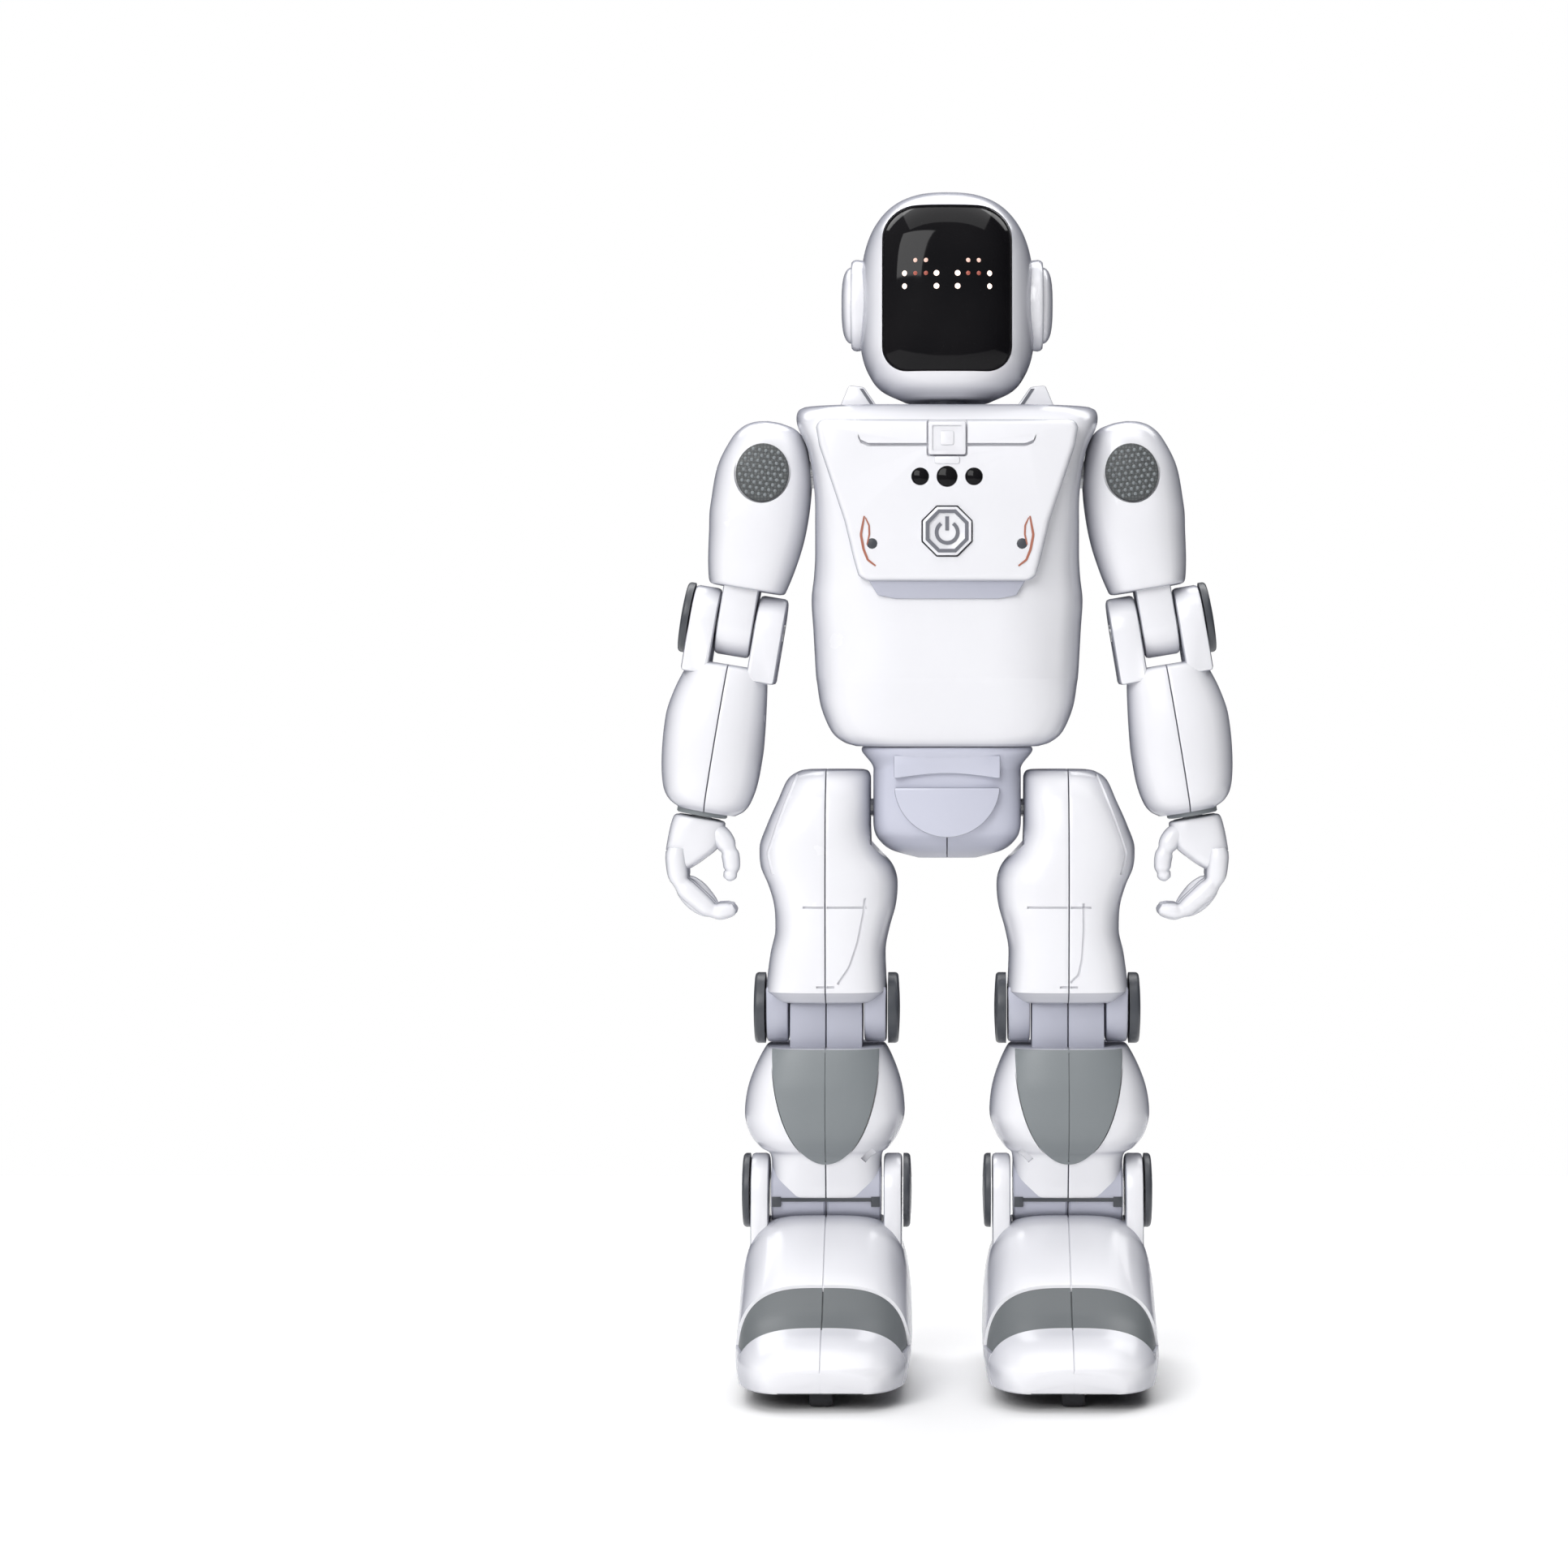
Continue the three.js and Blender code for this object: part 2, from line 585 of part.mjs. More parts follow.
function shoulderShaft() {
  const bar = rod("x", SHOULDER_SHAFT.radius, SHOULDER_SHAFT.x, [0, 0], 10);
  const inside = SHOULDER_SHAFT.x[0];
  const flange = [inside, inside + SHOULDER_SHAFT.thickness];
  return bar.add(rod("x", SHOULDER_SHAFT.flange, flange, [0, 0], 10));
}

// The fingers curl inwards under the palm, and the thumb comes down to meet them.
const HAND_OUTLINE = [
  [10, -118.2],
  [12, -123],
  [11.6, -134],
  [6, -146],
  [-2, -151.6],
  [-10, -152],
  [-16.4, -147.6],
  [-14, -144.6],
  [-7, -145.4],
  [-0.4, -141.6],
  [1.6, -136],
  [-1, -131.4],
  [-5.4, -131.6],
  [-7.4, -136.6],
  [-11, -138.6],
  [-13.6, -133.6],
  [-10.6, -124.6],
  [-5, -118.2],
];
const HAND_HALF_DEPTH = 7.6;
const HAND_BEVEL = 1.4;

function hand() {
  const shape = new THREE.Shape();
  shape.moveTo(...HAND_OUTLINE[0]);
  shape.splineThru(HAND_OUTLINE.slice(1).map(([x, z]) => new THREE.Vector2(x, z)));
  const palm = plate(shape, even(HAND_HALF_DEPTH), HAND_BEVEL);
  return palm.add(rod("z", WRIST.radius, WRIST.peg, [WRIST.x, 0], 10));
}

function buildArm(side) {
  const shoulder = new THREE.Group();
  const arm = new THREE.Group();
  arm.rotation.y = -ARM_TILT;
  shoulder.add(arm);
  const [front, rear] = upperArmShells();
  const [inner, outer] = forearmShells();
  put(arm, side + "_upper_arm_front_shell", front, white);
  put(arm, side + "_upper_arm_rear_shell", rear, white);
  const grille = rod("y", GRILLE.radius, GRILLE.y, [0, 0], 16);
  put(arm, side + "_shoulder_grille", grille, charcoal);
  put(shoulder, side + "_shoulder_shaft", shoulderShaft(), white);
  put(arm, side + "_elbow_pin", elbowPin(), charcoal);
  put(arm, side + "_forearm_inner_shell", inner, white);
  put(arm, side + "_forearm_outer_shell", outer, white);
  put(arm, side + "_hand", hand(), white);
  shoulder.position.set(SHOULDER.x, 0, SHOULDER.z);
  return shoulder;
}

// ---- Legs, built for the left side: x = 0 is the middle of the leg, +X is outwards ----

const THIGH_SECTIONS = [
  [205, [-14.4, 8], even(9), 2.4],
  [201.5, [-15, 13.4], even(14), 2.8],
  [194.5, [-15, 16.4], even(18), 3],
  [186.4, [-15, 20.2], even(20), 3],
  [178.3, [-18, 23.4], even(20.6), 3],
  [173, [-22, 22.6], [-21, 20.6], 3],
  [167, [-24, 19.8], [-21.4, 20.4], 3],
  [160, [-23.6, 17.8], [-21.4, 20], 3],
  [152, [-21.4, 17.2], [-20.6, 19.4], 3],
  [143.4, [-19.8, 19.4], [-19.8, 18.8], 3.2],
  [130, [-20.4, 20.6], [-19, 18.4], 3.4],
];
const SHIN_SECTIONS = [
  [111.6, [-20.2, 20.6], even(18), 3.2],
  [104.4, [-23.4, 24.2], [-20, 21], 3],
  [97, [-25.6, 26.8], [-21.2, 22.4], 2.9],
  [89, [-26.4, 28], [-21.2, 22.6], 2.9],
  [82, [-24.4, 26.2], [-20, 21.4], 2.9],
  [77.5, [-22, 23.6], [-17.6, 18.6], 3],
  [75.2, even(18.6), [-15.6, 16], 3.2],
  [66, even(18.6), [-12.4, 12.6], 3.4],
  [60, even(18.6), even(11), 3.6],
];
const PELVIS_SIDE = -14.95; // where the side of the pelvis stands, from the middle of the leg
const PELVIS_PLAY = 1.1;
const SHAFT_END = -8;
const KNEE = {
  radius: 11.5,
  lugs: [12.8, 20.3],
  caps: [20.8, 24.8],
  capRadius: 12,
  thigh: 132, // how far up the thigh's lugs reach
  shin: 108, // how far down the shin's tongue reaches
  neck: 9.5,
};
const ANKLE = { radius: 12.5, lugs: [19.4, 25.5], caps: [26, 28.8], barrel: 11, barrelHalf: 18.6 };
const COVER_ROOM = { radius: 13.1, x: [25.6, 40] };
const SHIN_PANEL = { half: 18, top: 111.4, bottom: 72.6, proud: 0.5, sunk: 1.2, back: -8 };
const SHIN_WALL = 3.6;

function thighShells() {
  const lugs = bothSides(KNEE.lugs, (x) => lug(x, KNEE.radius, KNEE_Z, KNEE.thigh, KNEE.radius));
  const pelvisRoom = rod("x", PELVIS_ROUND + PELVIS_PLAY, [-FAR, PELVIS_SIDE], [0, HIP_Z], 20);
  const kneeRoom = rod("x", KNEE.radius - 1 + PLAY, even(KNEE.lugs[0]), [0, KNEE_Z], 16);
  const body = union(hollow(THIGH_SECTIONS), ...lugs)
    .subtract(pelvisRoom)
    .subtract(kneeRoom)
    .subtract(rod("x", SHAFT_RADIUS + PLAY, [-FAR, SHAFT_END], [0, HIP_Z], 10))
    .subtract(rod("x", PIN_RADIUS + GAP, even(FAR), [0, KNEE_Z], 10));
  return halves(body, "x");
}

// A pin across a leg joint, with a round cover at each end.
function coveredPin(z, radius, covers) {
  const caps = bothSides(covers, (x) => rod("x", radius, x, [0, z], 16));
  return union(rod("x", PIN_RADIUS, even(covers[1] - 1), [0, z], 10), ...caps);
}

// The panel's outline is straight at the top and a superellipse below.
function shinPanelPrism(grow) {
  const steps = 10;
  const height = SHIN_PANEL.top - SHIN_PANEL.bottom;
  const points = [];
  for (let i = 0; i <= steps; i++) {
    const angle = (Math.PI * i) / steps;
    const x = SHIN_PANEL.half * Math.sign(Math.cos(angle)) * Math.abs(Math.cos(angle));
    const down = height * Math.sin(angle) ** 0.7;
    points.push(new THREE.Vector2(x * (1 + grow / SHIN_PANEL.half), SHIN_PANEL.top - down - grow));
  }
  points.push(new THREE.Vector2(-SHIN_PANEL.half - grow, SHIN_PANEL.top + grow));
  points.push(new THREE.Vector2(SHIN_PANEL.half + grow, SHIN_PANEL.top + grow));
  return plate(new THREE.Shape(points.reverse()), [-FAR, SHIN_PANEL.back]);
}

function shinShells() {
  const tongue = lug(even(KNEE.lugs[0] - PLAY), KNEE.radius - 1, KNEE_Z, KNEE.shin, KNEE.neck);
  const barrel = rod("x", ANKLE.barrel, even(ANKLE.barrelHalf), [0, ANKLE_Z], 16);
  const pocket = shinPanelPrism(GAP).subtract(
    loft(inset(SHIN_SECTIONS, SHIN_PANEL.sunk + GAP)),
  );
  const body = union(loft(SHIN_SECTIONS), barrel, tongue)
    .subtract(loft(inset(coarse(SHIN_SECTIONS), SHIN_WALL), INSIDE_SIDES))
    .subtract(pocket)
    .subtract(rod("x", PIN_RADIUS + PLAY, even(FAR), [0, KNEE_Z], 10))
    .subtract(rod("x", PIN_RADIUS + PLAY, even(FAR), [0, ANKLE_Z], 10));
  return halves(body, "x");
}

function shinPanel() {
  const outside = loft(inset(SHIN_SECTIONS, -SHIN_PANEL.proud));
  const inside = loft(inset(SHIN_SECTIONS, SHIN_PANEL.sunk));
  return shinPanelPrism(0).intersect(outside).subtract(inside);
}

// ---- Feet ----

// Each section is [reach in front of the leg, half width, top, squareness].
const FOOT_SECTIONS = [
  [-FOOT.heel, 19, 24, 2.6],
  [-38.5, 24, 38, 3],
  [-28, 27, 49, 3.4],
  [-10, 28.4, 54.6, 4],
  [12, FOOT.half, 54.6, 4],
  [24, FOOT.half, 48.5, 3.6],
  [38, FOOT.half, 37.6, 3.3],
  [46, 28.8, 28.6, 3.1],
  [54, 28.4, 24.6, 3],
  [62, 26.4, 22.2, 2.8],
  [68, 21.6, 17.4, 2.6],
  [FOOT.toe, 13.6, 12, 2.4],
];
const BAND = { reach: [39.6, 54.4], sunk: 0.9 };
const SOLE_PLATE = { thickness: 3, inset: 2.8 };
const ABOVE = 90; // higher than the foot
const ARCH_BASE = 6; // the sections' widest height
const WHEEL_SLOT = { half: 3.6, reach: 9.6, rib: [9, 12], ribHalf: 4 };
const ROLLER_SLOT = { half: 4.5, reach: 5.4, rib: [5, 7], ribHalf: 3.2 };
const RIB_ABOVE_AXLE = 2.4;
const AXLE_PLAY = 0.5;

// A loft along the foot. The section is an arch whose lower half lies under the sole and is cut away.
function footSolid(distance, sides = 12) {
  const sections = FOOT_SECTIONS.map(([reach, half, top, squareness]) => [
    reach,
    even(half),
    [2 * ARCH_BASE - top, top],
    squareness,
  ]);
  return turnedLoft(inset(sections, distance), sides);
}

const overSole = (low, high = FAR) => block(even(FAR), even(FAR), [SOLE_Z + low, high]);
const footSlab = ([near, far]) => block(even(FAR), [-far, -near], even(FAR));

function solePlate(grow) {
  const top = SOLE_Z + SOLE_PLATE.thickness + grow;
  return footSolid(SOLE_PLATE.inset - grow, INSIDE_SIDES).intersect(overSole(-1, top));
}

function footShell() {
  const lugs = bothSides(ANKLE.lugs, (x) => lug(x, ANKLE.radius, ANKLE_Z, 38, ANKLE.radius));
  const shinRoom = lug(even(ANKLE.lugs[0]), ANKLE.radius, ANKLE_Z, ABOVE, ANKLE.radius);
  const coverRooms = bothSides(COVER_ROOM.x, (x) =>
    lug(x, COVER_ROOM.radius, ANKLE_Z, ABOVE, COVER_ROOM.radius),
  );
  const arch = footSolid(0).subtract(footSolid(WALL, INSIDE_SIDES));
  const shell = union(arch, ...lugs).intersect(overSole(0));
  return coverRooms
    .reduce((rest, room) => rest.subtract(room), shell)
    .subtract(shinRoom)
    .subtract(solePlate(GAP))
    .subtract(rod("x", PIN_RADIUS + GAP, even(FAR), [0, ANKLE_Z], 10));
}

// A pair of ribs on the sole plate that carry an axle.
function axleRibs({ rib, ribHalf }, { y, radius, axle }) {
  const height = [SOLE_Z + 0.5, radius + axle + RIB_ABOVE_AXLE];
  return union(...bothSides(rib, (x) => block(x, [y - ribHalf, y + ribHalf], height)));
}

// An opening in the sole plate that a wheel reaches down through.
const wheelSlot = (x, y, reach) => block(x, [y - reach, y + reach], [0, 10]);

function footChassis() {
  const [near, far] = BAND.reach;
  const bandSlab = footSlab([near + GAP, far - GAP]);
  const outside = footSolid(BAND.sunk);
  const arch = outside.subtract(footSolid(WALL, INSIDE_SIDES)).intersect(overSole(0));
  const base = outside.intersect(overSole(0, SOLE_Z + SOLE_PLATE.thickness));
  const band = arch.add(base).intersect(bandSlab);
  const slots = [
    ...bothSides([WHEEL.x - WHEEL_SLOT.half, WHEEL.x + WHEEL_SLOT.half], (x) =>
      wheelSlot(x, WHEEL.y, WHEEL_SLOT.reach),
    ),
    wheelSlot(even(ROLLER_SLOT.half), ROLLER.y, ROLLER_SLOT.reach),
  ];
  const plain = solePlate(0).intersect(overSole(0)).add(band);
  const slotted = slots.reduce((rest, slot) => rest.subtract(slot), plain);
  const wheelBore = [WHEEL.y, WHEEL.radius];
  const rollerBore = [ROLLER.y, ROLLER.radius];
  return union(slotted, axleRibs(WHEEL_SLOT, WHEEL), axleRibs(ROLLER_SLOT, ROLLER))
    .subtract(rod("x", WHEEL.axle + AXLE_PLAY, even(WHEEL_SLOT.rib[1] + 2), wheelBore, 8))
    .subtract(rod("x", ROLLER.axle + AXLE_PLAY, even(ROLLER_SLOT.rib[1] + 1), rollerBore, 8));
}

function driveWheels() {
  const at = [WHEEL.y, WHEEL.radius];
  const half = WHEEL.width / 2;
  const wheels = bothSides([WHEEL.x - half, WHEEL.x + half], (x) =>
    rod("x", WHEEL.radius, x, at, 20),
  );
  return union(rod("x", WHEEL.axle, even(WHEEL.x), at, 8), ...wheels);
}

function frontRoller() {
  const at = [ROLLER.y, ROLLER.radius];
  const axle = rod("x", ROLLER.axle, even(ROLLER.axleHalf), at, 8);
  return axle.add(rod("x", ROLLER.radius, even(ROLLER.width / 2), at, 16));
}

function buildLeg(side) {
  const leg = new THREE.Group();
  const [thighInner, thighOuter] = thighShells();
  const [shinInner, shinOuter] = shinShells();
  const shell = footShell();
  put(leg, side + "_thigh_inner_shell", thighInner, white);
  put(leg, side + "_thigh_outer_shell", thighOuter, white);
  put(leg, side + "_knee_pin", coveredPin(KNEE_Z, KNEE.capRadius, KNEE.caps), charcoal);
  put(leg, side + "_shin_inner_shell", shinInner, white);
  put(leg, side + "_shin_outer_shell", shinOuter, white);
  put(leg, side + "_shin_panel", shinPanel(), darkGrey);
  put(leg, side + "_ankle_pin", coveredPin(ANKLE_Z, ANKLE.radius, ANKLE.caps), charcoal);
  put(leg, side + "_foot_upper", shell.intersect(footSlab([-FAR, BAND.reach[0]])), white);
  put(leg, side + "_toe_cap", shell.intersect(footSlab([BAND.reach[1], FAR])), white);
  put(leg, side + "_foot_chassis", footChassis(), darkGrey);
  put(leg, side + "_drive_wheels", driveWheels(), rubber);
  put(leg, side + "_front_roller", frontRoller(), rubber);
  leg.position.x = LEG_X;
  return leg;
}

// ---- The robot ----

const robot = new THREE.Group();
robot.add(buildHead(), buildTorso(), buildPelvis());
for (const [side, direction] of [
  ["left", 1],
  ["right", -1],
]) {
  const limbs = new THREE.Group();
  limbs.scale.x = direction;
  limbs.add(buildArm(side), buildLeg(side));
  robot.add(limbs);
}
// The toes reach further than the heels, so the body stands a little behind the middle of the feet.
robot.position.y = (FOOT.toe - FOOT.heel) / 2;
const origin = new THREE.Group();
origin.add(robot);

export default origin;
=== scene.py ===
"""Looks of the walking humanoid robot toy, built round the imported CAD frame.

Metres, +Z up; the robot faces -Y and its own left side is +X. Shapes are drawn in millimetres round anchor
points that come from the frame: the joints' positions and the boxes of the CAD nodes.
"""
import json
import math

import bmesh
import bpy
import numpy as np
from mathutils import Matrix, Vector


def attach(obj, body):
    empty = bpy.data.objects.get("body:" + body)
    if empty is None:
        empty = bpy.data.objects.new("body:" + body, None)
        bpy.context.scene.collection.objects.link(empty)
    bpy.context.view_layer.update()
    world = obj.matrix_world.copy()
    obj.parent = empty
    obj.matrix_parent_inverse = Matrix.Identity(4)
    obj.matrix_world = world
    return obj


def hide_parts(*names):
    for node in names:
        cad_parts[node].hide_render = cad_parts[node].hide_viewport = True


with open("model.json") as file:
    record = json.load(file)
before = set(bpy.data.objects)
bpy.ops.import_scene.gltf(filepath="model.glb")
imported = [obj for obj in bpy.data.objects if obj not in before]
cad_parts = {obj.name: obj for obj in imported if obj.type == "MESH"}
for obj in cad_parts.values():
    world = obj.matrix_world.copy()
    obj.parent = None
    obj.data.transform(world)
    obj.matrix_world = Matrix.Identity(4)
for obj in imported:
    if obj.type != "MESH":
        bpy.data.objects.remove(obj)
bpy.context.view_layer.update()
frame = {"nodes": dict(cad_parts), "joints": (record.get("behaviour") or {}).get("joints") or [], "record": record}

MM = 0.001
SEAM_GAP = 0.3  # millimetres between two half shells
SEAM_ROUND = 0.35  # rounding of the shells' edges along the seam
ROWS_PER_SECTION = 6
RING_POINTS = 64
SHARP_ANGLE = 38
TIP = 0.05  # the radius at which a lathe piece closes
FAR_FRONT = -60  # a cutting tool that starts here runs in from the open front
FAR_BACK = 60

JOINTS = {joint["name"]: joint for joint in frame["joints"]}
SIDES = {"left": 1, "right": -1}
PLACES = {"inner": -1, "outer": 1}


def joint_point(name):
    return np.array(JOINTS[name]["pos_m"]) / MM


HIP = joint_point("left_hip")
KNEE = joint_point("left_knee")
ANKLE = joint_point("left_ankle")
SHOULDER = joint_point("left_shoulder")
ELBOW = joint_point("left_elbow")
BODY_Y = HIP[1]
ARM_TILT = math.atan2(ELBOW[0] - SHOULDER[0], SHOULDER[2] - ELBOW[2])
UPPER_ARM = math.hypot(ELBOW[0] - SHOULDER[0], SHOULDER[2] - ELBOW[2])

# ---------------------------------------------------------------- mesh helpers


def new_piece(name, points, faces):
    """A mesh object from points in millimetres in the row frame."""
    mesh = bpy.data.meshes.new(name)
    mesh.from_pydata([tuple(float(c) * MM for c in p) for p in points], [], faces)
    mesh.update()
    piece = bpy.data.objects.new(name, mesh)
    bpy.context.scene.collection.objects.link(piece)
    face_outwards(piece)
    return piece


def face_outwards(piece):
    work = bmesh.new()
    work.from_mesh(piece.data)
    bmesh.ops.recalc_face_normals(work, faces=work.faces)
    work.to_mesh(piece.data)
    work.free()


def settle(piece):
    """Applies the piece's modifiers to its mesh."""
    graph = bpy.context.evaluated_depsgraph_get()
    made = bpy.data.meshes.new_from_object(piece.evaluated_get(graph))
    piece.modifiers.clear()
    piece.data = made
    return piece


def combine(piece, tool, operation="DIFFERENCE"):
    """Cuts a tool out of a piece, joins it on, or keeps what both hold."""
    modifier = piece.modifiers.new("combine", "BOOLEAN")
    modifier.operation = operation
    modifier.solver = "MANIFOLD"
    modifier.object = tool
    settle(piece)
    bpy.data.objects.remove(tool)
    return piece


def smooth(piece):
    piece.data.polygons.foreach_set("use_smooth", [True] * len(piece.data.polygons))
    piece.data.set_sharp_from_angle(angle=math.radians(SHARP_ANGLE))
    return piece


def soften(piece, width, segments=2, angle=40):
    """Rounds the sharp edges of a piece. width is in millimetres."""
    modifier = piece.modifiers.new("soften", "BEVEL")
    modifier.width = width * MM
    modifier.segments = segments
    modifier.limit_method = "ANGLE"
    modifier.angle_limit = math.radians(angle)
    return settle(piece)


def grid_faces(rows, columns):
    """Quads of a closed tube of rings, with a cap at each end."""
    faces = []
    for k in range(rows - 1):
        for i in range(columns):
            a, b = k * columns + i, k * columns + (i + 1) % columns
            faces.append((a, b, b + columns, a + columns))
    faces.append(tuple(reversed(range(columns))))
    faces.append(tuple(range((rows - 1) * columns, rows * columns)))
    return faces


def blend_rows(sections, per_section=ROWS_PER_SECTION):
    """Smooth rows between the given sections, each a flat list of numbers."""
    values = np.array(sections, float)
    steps = np.diff(values, axis=0)
    slopes = np.zeros_like(values)
    slopes[1:-1] = np.where(steps[:-1] * steps[1:] > 0, (steps[:-1] + steps[1:]) / 2, 0)
    slopes[0], slopes[-1] = steps[0], steps[-1]
    rows = [values[0]]
    for k in range(len(values) - 1):
        for t in np.linspace(0, 1, per_section + 1)[1:]:
            h00 = 2 * t**3 - 3 * t**2 + 1
            h10 = t**3 - 2 * t**2 + t
            h01 = 3 * t**2 - 2 * t**3
            h11 = t**3 - t**2
            row = h00 * values[k] + h10 * slopes[k] + h01 * values[k + 1] + h11 * slopes[k + 1]
            rows.append(row)
    return rows


# ---------------------------------------------------------------- sections and lofts


def superellipse(row, count=240):
    """A ring for a row [z, x low, x high, y low, y high, squareness]: 2 is an ellipse, more is squarer."""
    _, x0, x1, y0, y1, squareness = row
    angle = np.linspace(0, 2 * math.pi, count, endpoint=False)
    cosine, sine = np.cos(angle), np.sin(angle)
    reach = (np.abs(cosine) ** squareness + np.abs(sine) ** squareness) ** (-1 / squareness)
    x = (x0 + x1) / 2 + (x1 - x0) / 2 * reach * cosine
    y = (y0 + y1) / 2 + (y1 - y0) / 2 * reach * sine
    return np.stack([x, y], axis=1)


def resample(line, count, closed=False):
    """Points at equal distances along a line of points."""
    if closed:
        line = np.vstack([line, line[:1]])
    lengths = np.concatenate([[0], np.cumsum(np.linalg.norm(np.diff(line, axis=0), axis=1))])
    wanted = np.linspace(0, lengths[-1], count, endpoint=not closed)
    return np.stack([np.interp(wanted, lengths, line[:, i]) for i in range(line.shape[1])], axis=1)


def cut_ring(ring, axis, side, seam, count):
    """The part of a ring on one side of the plane at seam, closed along the plane with rounded corners."""
    depth = side * (ring[:, axis] - seam) - SEAM_GAP / 2
    inner = int(np.argmin(depth))
    ring, depth = np.roll(ring, -inner, axis=0), np.roll(depth, -inner)
    keep = np.nonzero(depth > SEAM_ROUND)[0]
    first, last = keep[0], keep[-1]

    def crossing(outside, inside):
        share = (SEAM_ROUND - depth[outside]) / (depth[inside] - depth[outside])
        return ring[outside] + share * (ring[inside] - ring[outside])

    start = crossing(first - 1, first)
    end = crossing((last + 1) % len(ring), last)
    arc = resample(np.vstack([start, ring[first : last + 1], end]), count)
    across = 1 - axis

    def corner(tip, other):
        """Two points that take the edge round to the plane."""
        inward = np.sign(other[across] - tip[across]) * min(SEAM_ROUND, abs(other[across] - tip[across]) / 3)
        middle, low = tip.copy(), tip.copy()
        middle[axis] -= side * SEAM_ROUND * 0.7
        middle[across] += inward * 0.3
        low[axis] -= side * SEAM_ROUND
        low[across] += inward
        return [middle, low]

    return np.vstack([arc, corner(end, start), corner(start, end)[::-1]])


def loft(name, sections, axis=None, side=1, seam=0.0, ring=superellipse, count=RING_POINTS, rows=None):
    """A closed loft along Z: whole where axis is None, or the half on one side of a seam plane."""
    points, size = [], 0
    for row in blend_rows(sections, rows or ROWS_PER_SECTION):
        line = ring(row)
        if axis is None:
            line = resample(line, count, closed=True)
        else:
            line = cut_ring(line, axis, side, seam, count)
        size = len(line)
        points += [(x, y, row[0]) for x, y in line]
    return new_piece(name, points, grid_faces(len(points) // size, size))


def moved(piece, offset=(0, 0, 0), tilt=0.0, mirror=1):
    """Turns a piece about Y, shifts it by millimetres, and mirrors it to the robot's other side."""
    turn = Matrix.Rotation(-tilt, 4, "Y")
    shift = Matrix.Translation([c * MM for c in offset])
    flip = Matrix.Diagonal((mirror, 1, 1, 1))
    piece.data.transform(flip @ shift @ turn)
    if mirror < 0:
        piece.data.flip_normals()
    return piece


def grown(sections, distance):
    """The sections with every wall moved out by a distance, or in by a negative one."""
    z = [s[0] for s in sections]
    middle, half = (max(z) + min(z)) / 2, (max(z) - min(z)) / 2
    return [
        [middle + (s[0] - middle) * (half + distance) / half, s[1] - distance, s[2] + distance]
        + [s[3] - distance, s[4] + distance, s[5]]
        for s in sections
    ]


def prism(name, outline, low, high, axis=1):
    """A solid between two places on an axis: 1 takes an outline of (x, z) points, 0 one of (y, z) points."""
    count = len(outline)
    places = [(a, z, depth) for depth in (low, high) for a, z in outline]
    points = [(a, depth, z) if axis == 1 else (depth, a, z) for a, z, depth in places]
    faces = [tuple(range(count)), tuple(reversed(range(count, 2 * count)))]
    faces += [(i, i + count, (i + 1) % count + count, (i + 1) % count) for i in range(count)]
    return new_piece(name, points, faces)


def rounded_outline(half, low, high, radius, steps=8, low_radius=None):
    """A rectangle with round corners, as (x, z) points. The lower corners may have their own radius."""
    outline = []
    for quarter, (right, up) in enumerate(((1, 1), (-1, 1), (-1, -1), (1, -1))):
        r = radius if up > 0 or low_radius is None else low_radius
        x, z = right * (half - r), (high - r if up > 0 else low + r)
        for step in range(steps + 1):
            angle = (quarter + step / steps) * math.pi / 2
            outline.append((x + r * math.cos(angle), z + r * math.sin(angle)))
    return outline


def sideways(line):
    """Unit vectors at right angles to a line of points in a plane."""
    along = np.gradient(line, axis=0)
    along /= np.linalg.norm(along, axis=1)[:, None]
    return np.stack([-along[:, 1], along[:, 0]], axis=1)


def circle_outline(x, z, radius, steps=40, start=0.0):
    turns = [start + 2 * math.pi * i / steps for i in range(steps)]
    return [(x + radius * math.cos(t), z + radius * math.sin(t)) for t in turns]


def turned(name, profile, axis, centre, steps=56):
    """A lathe piece: profile is (along the axis, radius) points, the axis is 0, 1 or 2 and runs both ways."""
    others = [i for i in range(3) if i != axis]
    points = []
    for along, radius in profile:
        for i in range(steps):
            angle = 2 * math.pi * i / steps
            point = [0.0, 0.0, 0.0]
            point[axis] = centre[axis] + along
            point[others[0]] = centre[others[0]] + radius * math.cos(angle)
            point[others[1]] = centre[others[1]] + radius * math.sin(angle)
            points.append(point)
    return new_piece(name, points, grid_faces(len(profile), steps))


def rounded_disc(radius, thickness, edge, steps=4, crown=0.0):
    """The profile of a disc from 0 to its thickness, with a round outer edge and a crowned face."""
    profile = [(0, radius * 0.999)]
    for step in range(steps + 1):
        angle = math.pi / 2 * step / steps
        height = thickness - crown - edge * (1 - math.sin(angle))
        profile.append((height, radius - edge * (1 - math.cos(angle))))
    profile += [(thickness - crown * share, (radius - edge) * math.sqrt(share)) for share in (0.6, 0.2, 0.02)]
    return profile


def block(name, low, high):
    points = [(x, y, z) for x in (low[0], high[0]) for y in (low[1], high[1]) for z in (low[2], high[2])]
    faces = [(0, 1, 3, 2), (4, 6, 7, 5), (0, 4, 5, 1), (2, 3, 7, 6), (0, 2, 6, 4), (1, 5, 7, 3)]
    return new_piece(name, points, faces)


def front_surface(piece, x, z):
    """How far forward (the lowest Y, in millimetres) a piece reaches at a place."""
    hit, point, _, _ = piece.ray_cast(Vector((x * MM, -1, z * MM)), Vector((0, 1, 0)))
    return point.y / MM if hit else BODY_Y


# ---------------------------------------------------------------- materials


